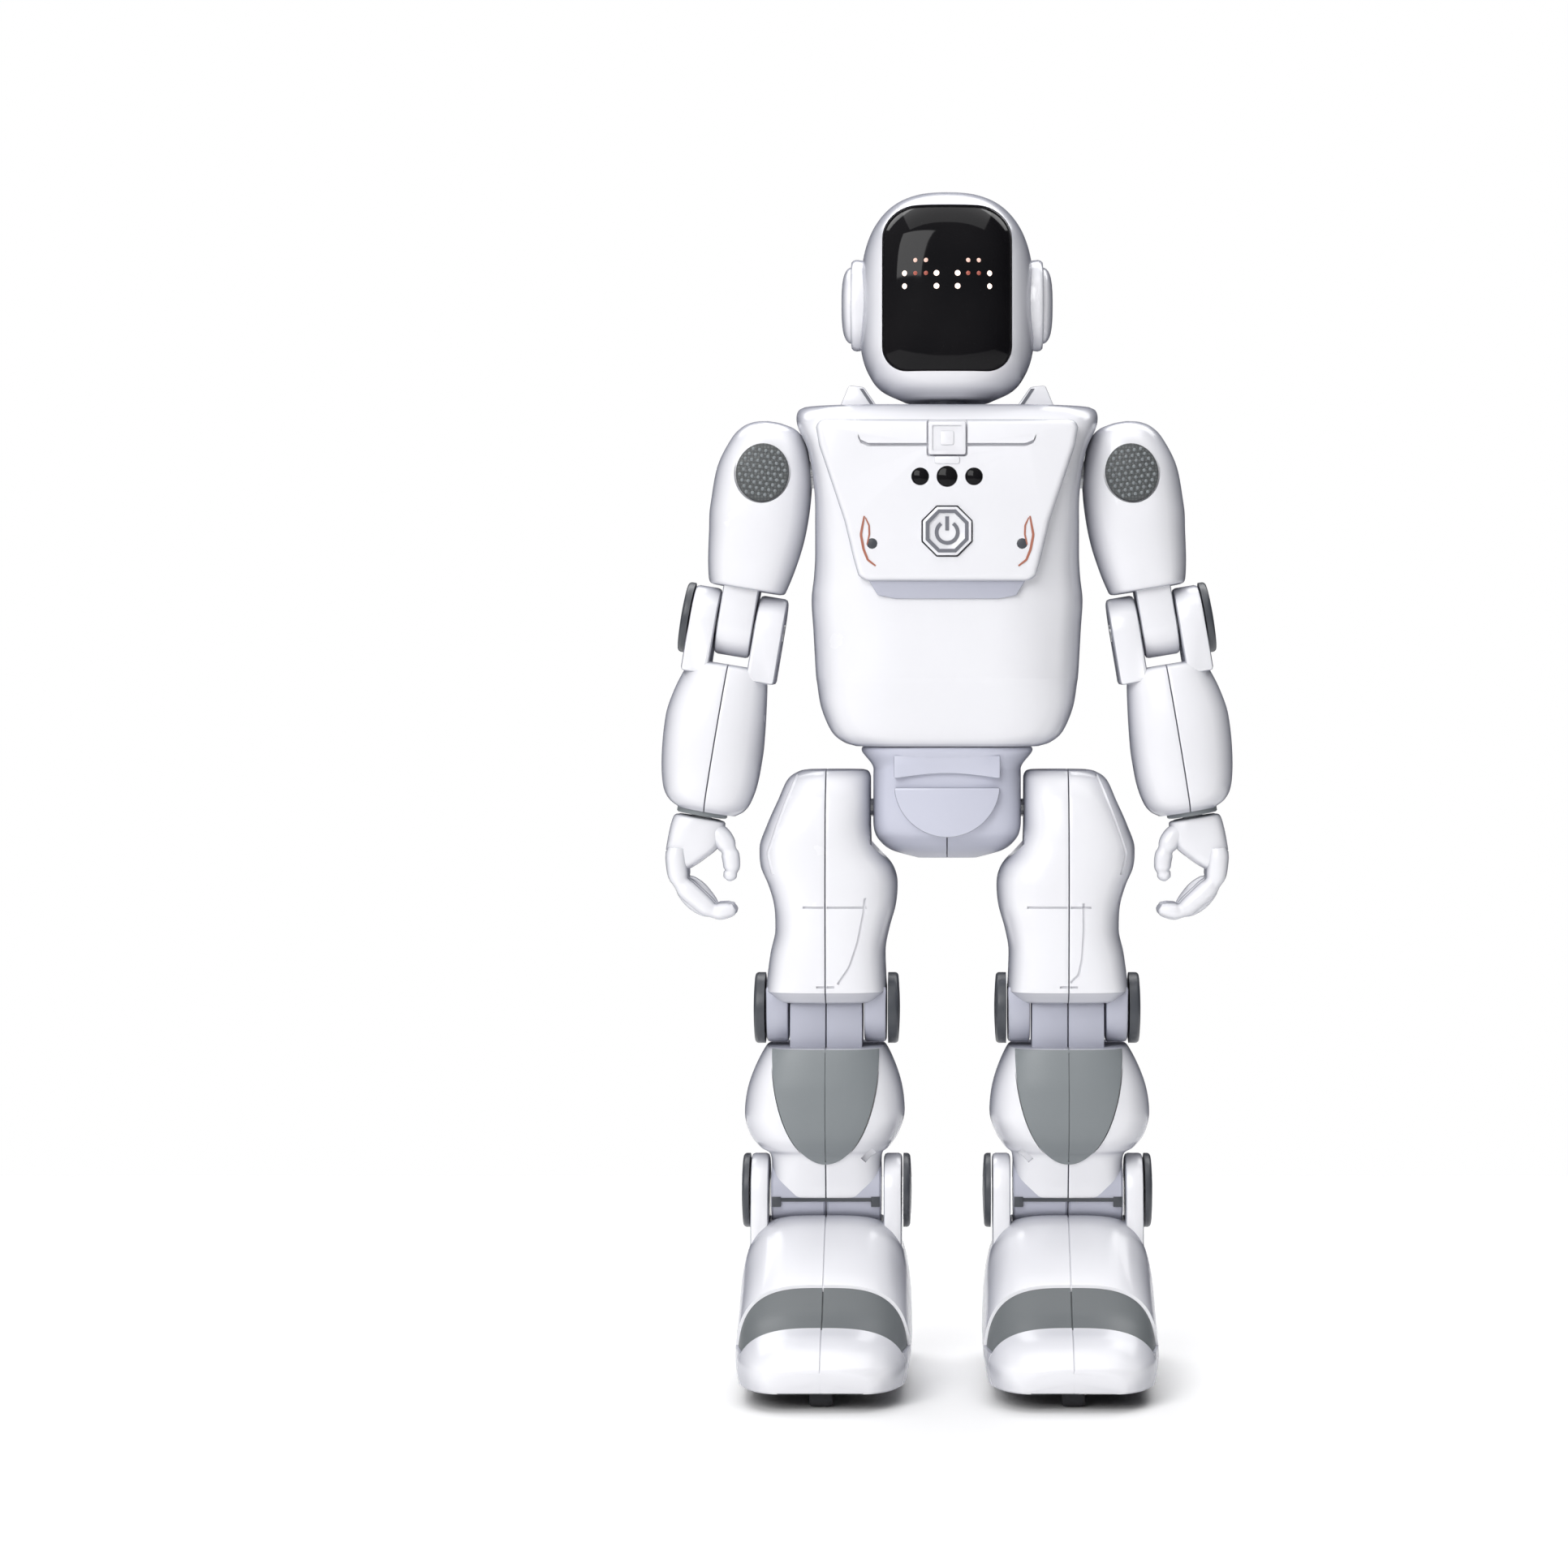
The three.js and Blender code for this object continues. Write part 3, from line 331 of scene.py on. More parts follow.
class Nodes:
    """A short way to build a node material."""

    def __init__(self, name):
        self.material = bpy.data.materials.new(name)
        self.material.use_nodes = True
        self.tree = self.material.node_tree
        self.shader = self.tree.nodes["Principled BSDF"]
        self.place = self.add("ShaderNodeTexCoord").outputs["Object"]

    def add(self, kind, **values):
        node = self.tree.nodes.new(kind)
        for key, value in values.items():
            if hasattr(node, key):
                setattr(node, key, value)
            else:
                node.inputs[key.replace("_", " ")].default_value = value
        return node

    def link(self, output, target):
        self.tree.links.new(output, target)

    def noise(self, scale, detail=4.0):
        node = self.add("ShaderNodeTexNoise")
        node.inputs["Scale"].default_value = scale
        node.inputs["Detail"].default_value = detail
        self.link(self.place, node.inputs["Vector"])
        return node.outputs["Fac"]

    def ramp(self, source, stops):
        """A colour ramp. stops is a list of (place, value or colour)."""
        node = self.add("ShaderNodeValToRGB")
        elements = node.color_ramp.elements
        while len(elements) < len(stops):
            elements.new(0.5)
        for element, (place, value) in zip(elements, stops):
            element.position = place
            element.color = (*value, 1) if hasattr(value, "__len__") else (value, value, value, 1)
        self.link(source, node.inputs["Fac"])
        return node.outputs["Color"]

    def mix(self, factor, first, second, mode="MIX"):
        node = self.add("ShaderNodeMix", data_type="RGBA", blend_type=mode)
        for socket, value in ((node.inputs[0], factor), (node.inputs[6], first), (node.inputs[7], second)):
            if isinstance(value, bpy.types.NodeSocket):
                self.link(value, socket)
            else:
                socket.default_value = value if isinstance(value, float) else (*value, 1)
        return node.outputs[2]

    def bump(self, height, distance, strength=0.5):
        node = self.add("ShaderNodeBump")
        node.inputs["Strength"].default_value = strength
        node.inputs["Distance"].default_value = distance
        self.link(height, node.inputs["Height"])
        self.link(node.outputs["Normal"], self.shader.inputs["Normal"])


def shade(colour, share):
    return tuple(c * share for c in colour)


def moulded_plastic(name, colour, roughness, spread=0.05, grain=900.0, depth=0.00002, coat=0.0, painted_edge_shade=0.0):
    """Moulded plastic: faint cloudy colour, uneven gloss, a fine grain, and a painted highlight on sharp edges.

    The last argument is how far the colour turns to a cool grey where the surface is seen at a low angle: a
    painted shade on the edges.
    """
    n = Nodes(name)
    cloud = n.ramp(n.noise(22.0), [(0.2, shade(colour, 0.97)), (0.8, colour)])
    # Painted highlight: the colour is made lighter on sharp edges, found by their pointiness.
    pointed = n.add("ShaderNodeNewGeometry").outputs["Pointiness"]
    edge = n.ramp(pointed, [(0.52, 0.0), (0.6, 1.0)])
    base = n.mix(edge, cloud, tuple(min(c * EDGE_HIGHLIGHT, 1.0) for c in colour))
    # Painted shade: the colour turns to a cool grey towards edges seen at a low angle.
    if painted_edge_shade:
        facing = n.add("ShaderNodeLayerWeight").outputs["Facing"]
        base = n.mix(n.ramp(facing, [(0.16, 0.0), (0.85, painted_edge_shade)]), base, EDGE_SHADE_GREY)
    n.link(base, n.shader.inputs["Base Color"])
    smears = n.noise(60.0, 8.0)
    n.link(
        n.ramp(smears, [(0.15, roughness - spread / 2), (0.85, roughness + spread)]),
        n.shader.inputs["Roughness"],
    )
    n.bump(n.noise(grain, 2.0), depth)
    n.shader.inputs["Coat Weight"].default_value = coat
    n.shader.inputs["Coat Roughness"].default_value = 0.08
    n.shader.inputs["IOR"].default_value = 1.5
    return n.material


def grille_cloth(name, colour):
    """Dark plastic with a fine raised dot pattern."""
    n = Nodes(name)
    dots = n.add("ShaderNodeTexVoronoi")
    dots.inputs["Scale"].default_value = 900.0
    dots.inputs["Randomness"].default_value = 0.15
    n.link(n.place, dots.inputs["Vector"])
    height = dots.outputs["Distance"]
    base = n.ramp(height, [(0.1, shade(colour, 1.5)), (0.55, shade(colour, 0.6))])
    n.link(base, n.shader.inputs["Base Color"])
    n.link(n.ramp(n.noise(80.0), [(0.3, 0.42), (0.7, 0.6)]), n.shader.inputs["Roughness"])
    n.bump(height, 0.0002, 0.6)
    return n.material


def screen_acrylic(name):
    """High-gloss black acrylic with faint dust and a faint blue-brown depth."""
    n = Nodes(name)
    dust = n.noise(2600.0, 1.0)
    base = n.ramp(n.noise(30.0), [(0.3, (0.004, 0.004, 0.005)), (0.8, (0.010, 0.009, 0.010))])
    dusty = n.mix(n.ramp(dust, [(0.74, 0.0), (0.80, 0.08)]), base, (0.25, 0.25, 0.25))
    n.link(dusty, n.shader.inputs["Base Color"])
    n.link(n.ramp(n.noise(45.0, 6.0), [(0.35, 0.045), (0.75, 0.10)]), n.shader.inputs["Roughness"])
    n.shader.inputs["Specular IOR Level"].default_value = 0.16
    return n.material


def led_light(name, colour, strength):
    """A lit LED under a diffuser, its glow varied by fine noise."""
    n = Nodes(name)
    glow = n.ramp(n.noise(1800.0, 1.0), [(0.2, shade(colour, 0.8)), (0.8, colour)])
    n.link(glow, n.shader.inputs["Base Color"])
    n.link(glow, n.shader.inputs["Emission Color"])
    n.shader.inputs["Emission Strength"].default_value = strength
    return n.material


def rubber(name, colour):
    n = Nodes(name)
    base = n.ramp(n.noise(35.0), [(0.3, shade(colour, 0.7)), (0.7, shade(colour, 1.3))])
    n.link(base, n.shader.inputs["Base Color"])
    n.link(n.ramp(n.noise(120.0), [(0.3, 0.7), (0.7, 0.9)]), n.shader.inputs["Roughness"])
    n.bump(n.noise(1500.0), 0.0001, 0.6)
    return n.material


def drawn_steel(name, colour):
    """Steel with fine lines along X from drawing."""
    n = Nodes(name)
    stretch = n.add("ShaderNodeMapping")
    stretch.inputs["Scale"].default_value = (4.0, 400.0, 400.0)
    n.link(n.place, stretch.inputs["Vector"])
    lines = n.add("ShaderNodeTexNoise")
    lines.inputs["Scale"].default_value = 10.0
    n.link(stretch.outputs["Vector"], lines.inputs["Vector"])
    n.shader.inputs["Metallic"].default_value = 1.0
    base = n.ramp(lines.outputs["Fac"], [(0.3, shade(colour, 0.75)), (0.7, colour)])
    n.link(base, n.shader.inputs["Base Color"])
    n.link(n.ramp(lines.outputs["Fac"], [(0.3, 0.25), (0.7, 0.45)]), n.shader.inputs["Roughness"])
    n.bump(lines.outputs["Fac"], 0.00003)
    return n.material


def circuit_board(name):
    """Green solder mask with copper tracks and paler pads."""
    n = Nodes(name)
    tracks = n.add("ShaderNodeTexBrick")
    tracks.inputs["Scale"].default_value = 260.0
    tracks.inputs["Mortar Size"].default_value = 0.03
    tracks.inputs["Color1"].default_value = (0.012, 0.10, 0.035, 1)
    tracks.inputs["Color2"].default_value = (0.015, 0.13, 0.045, 1)
    tracks.inputs["Mortar"].default_value = (0.05, 0.26, 0.10, 1)
    n.link(n.place, tracks.inputs["Vector"])
    pads = n.ramp(n.noise(420.0, 1.0), [(0.66, 0.0), (0.68, 1.0)])
    n.link(n.mix(pads, tracks.outputs["Color"], (0.55, 0.5, 0.36)), n.shader.inputs["Base Color"])
    n.link(n.ramp(n.noise(90.0), [(0.3, 0.3), (0.7, 0.5)]), n.shader.inputs["Roughness"])
    return n.material


# How much lighter the painted highlight makes sharp edges.
EDGE_HIGHLIGHT = 1.04
# The cool grey of the painted shade at low angles.
EDGE_SHADE_GREY = (0.26, 0.27, 0.33)


def slot_colour(slot):
    """The base colour that the record gives a material slot."""
    return next(tuple(m["base_color"][:3]) for m in frame["record"]["materials"] if m["slot"] == slot)


# The last argument of each of these three sets the strength of its painted edge shade.
WHITE = moulded_plastic("white_abs", slot_colour("white_shell"), 0.24, coat=0.25, painted_edge_shade=0.85)
GREY = moulded_plastic("grey_abs", slot_colour("grey_shell"), 0.33, coat=0.1, painted_edge_shade=0.6)
# A lighter copy of the grey plastic for the pelvis: painted light, as pelvis and knee parts are one grey and only
# the knees lie in shade.
LIT_GREY = moulded_plastic("pelvis_grey_lit", shade(slot_colour("grey_shell"), 1.25), 0.33, coat=0.1, painted_edge_shade=0.95)
TEXTURED = {"grain": 1400.0, "depth": 0.00005}
INSERT = moulded_plastic("insert_grey", slot_colour("dark_grey_insert"), 0.42, **TEXTURED)
BAND_GREY = moulded_plastic("band_grey", shade(slot_colour("dark_grey_insert"), 0.66), 0.45, **TEXTURED)
CHARCOAL = moulded_plastic("cover_charcoal", slot_colour("charcoal_plastic"), 0.36, **TEXTURED)
SCREEN = screen_acrylic("screen_black")
MOTOR_CASE = moulded_plastic("motor_case", (0.035, 0.035, 0.038), 0.5, grain=700.0, depth=0.00008)
CONE_PAPER = moulded_plastic("speaker_cone", (0.03, 0.028, 0.026), 0.7, grain=500.0, depth=0.0001)
GRILLE_PLASTIC = grille_cloth("grille_plastic", (0.11, 0.118, 0.12))
RUBBER = rubber("tyre_rubber", slot_colour("tyre_rubber"))
STEEL = drawn_steel("steel", slot_colour("steel"))
BOARD = circuit_board("circuit_board")
BATTERY = moulded_plastic("battery_wrap", slot_colour("battery_wrap"), 0.3)
ORANGE = moulded_plastic("stripe_orange", (0.40, 0.15, 0.10), 0.35)
LED = led_light("led_glow", (1.0, 0.78, 0.68), 1.3)
LED_SOFT = led_light("led_soft", (0.75, 0.5, 0.42), 0.5)
LED_DIM = led_light("led_dim", (0.40, 0.10, 0.07), 0.14)
MARK_AND_SHADE_GREY = moulded_plastic("mark_and_shade_grey", (0.16, 0.165, 0.19), 0.4)


def finish(piece, material, body, *replaced):
    """Gives a piece its material and its body, and hides the CAD nodes that it stands for."""
    piece.data.materials.clear()
    piece.data.materials.append(material)
    smooth(piece)
    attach(piece, body)
    if replaced:
        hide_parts(*replaced)
    return piece


def on_body(piece):
    """Moves a piece drawn about the robot's middle plane to its place in the row frame."""
    return moved(piece, (0, BODY_Y, 0))


def even(sections):
    """Rows [z, half width, y low, y high, squareness] made the same on both sides."""
    return [[z, -half, half, y0, y1, square] for z, half, y0, y1, square in sections]


# ---------------------------------------------------------------- head

HEAD = even([
    [400, 5, -5, 6, 2.2], [399.4, 11, -12, 13, 2.25], [396.6, 17.4, -19.4, 21, 2.4],
    [392, 22.4, -24.4, 26.2, 2.6], [385.5, 26.2, -27.6, 29.2, 2.9], [377, 28.6, -29.2, 30.6, 3],
    [366, 29.5, -29.6, 31, 3], [355, 29.5, -29.6, 30.7, 3], [346, 29, -29.4, 29, 3],
    [339, 26.6, -27.8, 26, 2.8], [333.5, 22.4, -24.8, 21, 2.5], [329.6, 14.5, -18, 14, 2.4],
])
HEAD_SEAM = 2.0
SCREEN_HALF = 21.3
SCREEN_Z = (338.4, 393.6)
SCREEN_CORNER = 11.0
SCREEN_LOW_CORNER = 8.0
SCREEN_SUNK = 0.5
EYE_X = 8.75
EYE_PITCH = 3.5
EYE_TOP = 374.7
EYE_ROW_PITCH = 4.3
LIT_DOT = 0.95
SOFT_DOT = 0.75
EAR_Z = 362.5
EAR_RADIUS = 15.5
EAR_REACH = 35.8
EAR_ROOT = 27.6
EAR_STEP = 4.9  # height of the ring round the domed cap


def screen_outline(room=0.0):
    half, low, high = SCREEN_HALF + room, SCREEN_Z[0] - room, SCREEN_Z[1] + room
    return rounded_outline(half, low, high, SCREEN_CORNER + room, 10, low_radius=SCREEN_LOW_CORNER + room)


def head_shells():
    front = loft("head_front_skin", HEAD, axis=1, side=-1, seam=HEAD_SEAM, rows=5)
    combine(front, prism("screen_room", screen_outline(0.4), FAR_FRONT, -17))
    rear = loft("head_rear_skin", HEAD, axis=1, side=1, seam=HEAD_SEAM, rows=5)
    for piece, node in ((front, "head_front_shell"), (rear, "head_rear_shell")):
        finish(on_body(piece), WHITE, "head", node)


def face_screen():
    """The black window: a piece of the head's own shape, sunk a little."""
    screen = loft("screen_window", grown(HEAD, -SCREEN_SUNK), rows=5, count=120)
    combine(screen, prism("screen_outline", screen_outline(), FAR_FRONT, -17), "INTERSECT")
    soften(screen, 0.4)
    on_body(screen)
    eye_lights(screen)
    finish(screen, SCREEN, "head", "face_screen")


def eye_lights(screen):
    """Two arches of small LED dots that shine through the window."""
    columns = [(k - 1.5) * EYE_PITCH for k in range(4)]
    lit = [(column, row) for column in (0, 3) for row in (1, 2)]
    soft = [(1, 0), (2, 0)]
    dim = [(1, 1), (2, 1)]
    for middle in (-EYE_X, EYE_X):
        side = "left" if middle > 0 else "right"
        for kind, places, material in (("lit", lit, LED), ("soft", soft, LED_SOFT), ("dim", dim, LED_DIM)):
            dots = []
            for column, row in places:
                x, z = middle + columns[column], EYE_TOP - row * EYE_ROW_PITCH
                radius = LIT_DOT if kind == "lit" else SOFT_DOT
                dots.append(dome("dot", x, front_surface(screen, x, z), z, radius))
            eye = join(f"{side}_eye_{kind}", dots)
            finish(eye, material, "head")


def dome(name, x, y, z, radius, height=0.25):
    foot = [(0.4, radius * 0.6), (0.2, radius), (0, radius)]
    crown = [(-height * 0.7, radius * 0.7), (-height, TIP)]
    return turned(name, foot + crown, 1, (x, y, z), steps=12)


def join(name, pieces):
    """Several pieces as one object."""
    work = bmesh.new()
    for piece in pieces:
        work.from_mesh(piece.data)
        bpy.data.objects.remove(piece)
    mesh = bpy.data.meshes.new(name)
    work.to_mesh(mesh)
    work.free()
    made = bpy.data.objects.new(name, mesh)
    bpy.context.scene.collection.objects.link(made)
    return made


def ear(side, sign):
    """A round pod on the side of the head: a step, a groove and a domed cap."""
    reach = EAR_REACH - EAR_ROOT
    profile = [(-4, 14.2), (1.5, EAR_RADIUS - 0.2), (3.2, EAR_RADIUS), (4.2, EAR_RADIUS - 0.3)]
    profile += [(4.8, EAR_RADIUS - 0.9), (EAR_STEP, EAR_RADIUS - 1.7)]
    profile += [(4.3, EAR_RADIUS - 2.0), (4.3, EAR_RADIUS - 2.4)]
    cap = EAR_RADIUS - 2.6
    for step in range(9):
        angle = math.pi / 2 * step / 8
        height = EAR_STEP + (reach - EAR_STEP) * math.sin(angle)
        profile.append((height, max(cap * math.cos(angle) ** 0.55, TIP)))
    pod = turned(f"{side}_ear_pod", profile, 0, (EAR_ROOT, 0, EAR_Z))
    finish(moved(pod, (0, BODY_Y, 0), mirror=sign), WHITE, "head", f"{side}_ear_cap")


# ---------------------------------------------------------------- torso

# Rows: height, y of the flat chest, its half width, widest half width, y where the widest part starts,
# y of the back, half width of the back.
TORSO = [
    [327.5, -20.5, 33, 48.6, -10, 18, 36], [326.4, -23, 37, 50.2, -13, 20, 38],
    [324, -25.6, 40, 50.8, -17, 23, 40], [320, -28, 41, 50, -21, 26.4, 40],
    [312, -29.6, 40, 46.6, -23, 29.6, 38], [299, -30.2, 36, 44.6, -23, 32, 37],
    [288, -30.5, 32, 44.4, -22, 33, 37], [278, -30.7, 29, 44.4, -21.4, 33, 37],
    [270, -30.9, 26.6, 44.8, -21, 33, 37], [262, -31, 25.6, 45.6, -21, 33, 37],
    [252, -31.1, 25.4, 45, -20.6, 33, 37], [241, -31.2, 26, 44.4, -20.4, 32.6, 36.6],
    [236.6, -31.1, 26.6, 44.1, -20.3, 32.2, 36.4], [234.4, -30.6, 27, 43.8, -20, 31.9, 36.2],
    [226, -27.4, 27.6, 42.4, -18.6, 30.4, 35], [218, -24.2, 26, 39, -17, 27.2, 31],
    [214.4, -22, 23, 35, -15.4, 24, 27], [213, -20, 20, 31, -13.6, 21.6, 24],
]
CHEST = [(27.2, 268), (29.4, 270), (31, 275.5), (34, 288), (38, 300), (42.4, 313), (43.4, 319), (42.6, 321.6)]
CHEST_FRONT = -34.0
CHEST_EDGE = 2.2
SOFTENING = 3
BUTTON_Z = 284.5
LENS_Z = 302.6
LENSES = ((-8.9, 2.7), (0.0, 3.25), (8.9, 2.7))
LENS_GAP = 0.25
BUTTON = 8.0
BUTTON_FACE = 5.9
EMBLEM_HALF = 6.2
EMBLEM_GAP = 0.6
EMBLEM_RIM = 1.3
EMBLEM_Z = (309.8, 320.8)
DOOR_HALF = 25
DOOR_Z = (236, 264)
DOOR_CORNER = 3
DOOR_GAP = 0.4
SCREW_X = (-20, 20)
SCREW_Z = 240.4
SCREW_SEAT = 32.2


def faceted(row):
    """The torso's ring: flat facets whose corners are rounded by cutting them off a few times."""
    _, chest_y, chest, wide, wide_y, back_y, back = row
    half = [(0, chest_y), (chest, chest_y), (wide, wide_y), (wide + 0.3, 8), (wide - 1.5, back_y * 0.6)]
    half += [(back, back_y), (0, back_y)]
    ring = np.array(half + [(-x, y) for x, y in half[-2:0:-1]], float)
    for _ in range(SOFTENING):
        ahead = np.roll(ring, -1, axis=0)
        ring = np.stack([0.78 * ring + 0.22 * ahead, 0.22 * ring + 0.78 * ahead], axis=1).reshape(-1, 2)
    return ring


def torso_front():
    """The front shell: facets, the chest's overhanging lip, and the groove under the emblem."""
    shell = loft("torso_front_skin", TORSO, axis=1, side=-1, ring=faceted, count=110)
    outline = CHEST + [(-x, z) for x, z in reversed(CHEST)]
    relief = soften(prism("chest_relief", outline, CHEST_FRONT, -20), CHEST_EDGE, 5, 42)
    combine(shell, relief, "UNION")
    for side in SIDES.values():
        combine(shell, strap_groove(side))
    for x, radius in LENSES:
        bore = [(0, radius + LENS_GAP), (30, radius + LENS_GAP)]
        combine(shell, turned("lens_bore", bore, 1, (x, FAR_FRONT, LENS_Z), 32))
    combine(shell, octagon("button_bore", BUTTON + 0.5, FAR_FRONT, -29))
    low, high = EMBLEM_Z
    room = rounded_outline(EMBLEM_HALF + EMBLEM_GAP, low - EMBLEM_GAP, high + EMBLEM_GAP, 1.1)
    combine(shell, prism("emblem_room", room, FAR_FRONT, -32.6))
    return shell


def strap_groove(side):
    """The shallow line beside the emblem, turned up at its outer end."""
    line = [(EMBLEM_HALF, 313.1), (26, 313.1), (28.6, 314.2), (29.4, 316)]
    low = [(x, z - 0.55) for x, z in line]
    high = [(x, z + 0.55) for x, z in reversed(line)]
    outline = [(side * x, z) for x, z in low + high]
    return prism("groove", outline, FAR_FRONT, CHEST_FRONT + 1.5)


def octagon(name, radius, front, back):
    """An eight-sided solid at the button's place. The radius runs to the middle of a side."""
    corner = radius / math.cos(math.pi / 8)
    return prism(name, circle_outline(0, BUTTON_Z, corner, 8, math.pi / 8), front, back)


def torso():
    front = torso_front()
    rear = loft("torso_rear_skin", TORSO, axis=1, side=1, ring=faceted, count=110)
    low, high = DOOR_Z
    room = rounded_outline(DOOR_HALF + DOOR_GAP, low - DOOR_GAP, high + DOOR_GAP, DOOR_CORNER)
    combine(rear, prism("cover_room", room, 31.4, FAR_BACK))
    finish(on_body(front), WHITE, "torso", "torso_front_shell")
    finish(on_body(rear), WHITE, "torso", "torso_rear_shell")
    return front


def chest_details(front):
    """Emblem plate, lenses, the painted-shade strip under the lip and coloured stripes, all set on the chest."""
    low, high = EMBLEM_Z
    plate = soften(prism("emblem_plate", rounded_outline(EMBLEM_HALF, low, high, 0.8), -34.8, -30), 0.35)
    face = rounded_outline(EMBLEM_HALF - EMBLEM_RIM, low + EMBLEM_RIM, high - EMBLEM_RIM, 0.5)
    combine(plate, prism("emblem_face", face, FAR_FRONT, -34.3))
    mark = soften(prism("emblem_mark", rounded_outline(2.2, low + 3.2, high - 3.2, 0.6), -34.7, -33), 0.2)
    combine(plate, mark, "UNION")
    foot = soften(prism("emblem_foot", rounded_outline(4.2, 306.8, low - 0.5, 0.8), -34.4, -30), 0.3)
    finish(on_body(foot), WHITE, "torso")
    finish(on_body(plate), WHITE, "torso", "chest_panel")
    for k, (x, radius) in enumerate(LENSES):
        profile = [(6, radius), (1.4, radius), (1.15, radius * 0.9), (0.8, TIP)]
        lens = turned(f"sensor_lens_{k}", profile, 1, (x, -35, LENS_Z), 32)
        finish(on_body(lens), SCREEN, "torso", *(["sensor_module"] if k == 0 else []))
    # A grey strip under the chest's lip: painted shade, standing in for the shadow beneath the overhang.
    lip_shade = soften(prism("chest_lip_shade_strip", LIP_SHADE_STRIP, -31.9, -29), 0.4)
    finish(on_body(lip_shade), GREY, "torso")
    for side, sign in SIDES.items():
        stripes(side, sign, front)


def ribbon(name, line, width, front, lift=0.18, sink=0.5):
    """A thin raised strip that follows the surface along a line of (x, z) points."""
    line = resample(np.array(line, float), 28)
    across = sideways(line)
    points = []
    for k, ((x, z), (ax, az)) in enumerate(zip(line, across)):
        half = width / 2 * math.sin(math.pi * (0.12 + 0.76 * k / (len(line) - 1))) ** 0.5
        for share, height in ((-1, -sink), (-1, lift), (1, lift), (1, -sink)):
            px, pz = x + ax * half * share, z + az * half * share
            points.append((px, front_surface(front, px, pz) - height, pz))
    return new_piece(name, points, grid_faces(len(line), 4))


def stripes(side, sign, front):
    """Curved orange lines and a dark dot at each lower corner of the chest."""
    outer = [(27.4, 289.5), (28.5, 283.3), (27.6, 278.5), (26.2, 275), (23.6, 273)]
    inner = [(27.0, 289), (25.8, 286.4), (25.7, 283.4), (26.5, 280)]
    for name, line, width in (("outer", outer, 0.85), ("inner", inner, 0.6)):
        strip = ribbon(f"{side}_stripe_{name}", [(sign * x, z) for x, z in line], width, front)
        finish(strip, ORANGE, "torso")
    x = sign * 24.8
    dot = dome(f"{side}_chest_dot", x, front_surface(front, x, 280.4), 280.4, 1.8, 0.2)
    finish(dot, CHARCOAL, "torso")


def power_button():
    """An eight-sided button with a raised rim and a plain on/off mark."""
    button = octagon("button_key", BUTTON, -35.2, -27)
    combine(button, octagon("button_face", BUTTON_FACE, FAR_FRONT, -34.7))
    soften(button, 0.25)
    finish(on_body(button), WHITE, "power_button", "power_button")
    rim = octagon("button_rim", 7.1, -35.35, -33)
    combine(rim, octagon("rim_hole", 5.95, FAR_FRONT, 0))
    finish(on_body(rim), MARK_AND_SHADE_GREY, "power_button")
    arc = []
    for k in range(25):
        turn = math.radians(125 + 290 * k / 24)
        arc.append((3.5 * math.cos(turn), BUTTON_Z - 0.4 + 3.5 * math.sin(turn)))
    bar = [(0, BUTTON_Z + 4.8), (0, BUTTON_Z + 0.2)]
    marks = [flat_strip(f"on_mark_{k}", line, 1.2, -34.95, -34.2) for k, line in enumerate((arc, bar))]
    finish(on_body(join("on_mark", marks)), MARK_AND_SHADE_GREY, "power_button")


def flat_strip(name, line, width, front, back):
    """A flat strip of even width along a line of (x, z) points."""
    line = np.array(line, float)
    across = sideways(line) * width / 2
    points = []
    for (x, z), (ax, az) in zip(line, across):
        points += [(x - ax, back, z - az), (x - ax, front, z - az)]
        points += [(x + ax, front, z + az), (x + ax, back, z + az)]
    return new_piece(name, points, grid_faces(len(line), 4))


COLLAR_WING = [(22.6, 326), (28, 333.8), (33, 334.3), (36.5, 326)]
# Outline of the dark strip that paints a groove's shade along each collar corner.
COLLAR_GROOVE_SHADE = [(24.2, 327.2), (28.2, 333.2), (29.4, 333.2), (25.4, 327.2)]
# Outline of the grey strip under the chest's lip, a painted shade for the shadow under the overhang.
LIP_SHADE_STRIP = [(-26, 268.4), (26, 268.4), (23, 263.4), (17, 262.2), (-17, 262.2), (-23, 263.4)]


def collar():
    """The upright corners on both sides of the neck, each with a dark strip along its inner edge that paints the
    shade of a groove.
    """
    for side, sign in SIDES.items():
        wing = [(sign * x, z) for x, z in COLLAR_WING]
        plate = soften(prism(f"{side}_collar_wing", wing, -14, 16), 0.6)
        finish(on_body(plate), WHITE, "torso")
        # Painted shade: a dark strip where a groove's shadow falls along the corner's inner edge.
        groove_shade = [(sign * x, z) for x, z in COLLAR_GROOVE_SHADE]
        line = prism(f"{side}_collar_groove_shade", groove_shade, -14.2, -13)
        finish(on_body(line), MARK_AND_SHADE_GREY, "torso")


def battery_cover():
    """The door in the back, with a thumb recess and two screw heads."""
    cover = prism("battery_door", rounded_outline(DOOR_HALF, *DOOR_Z, DOOR_CORNER), 29, 33.4)
    soften(cover, 0.5)
    recess = [(x, z) for x, z in circle_outline(0, 262, 5.5, 32) if z <= 262.01]
    combine(cover, prism("thumb_recess", recess, 32.4, FAR_BACK))
    for x in SCREW_X:
        bore = turned("screw_room", [(0, 2.5), (30, 2.5)], 1, (x, SCREW_SEAT, SCREW_Z), 24)
        combine(cover, bore)
    finish(on_body(cover), GREY, "torso", "battery_cover")
    screws = [screw("door_screw", (x, SCREW_SEAT, SCREW_Z)) for x in SCREW_X]
    finish(on_body(join("door_screws", screws)), STEEL, "torso")


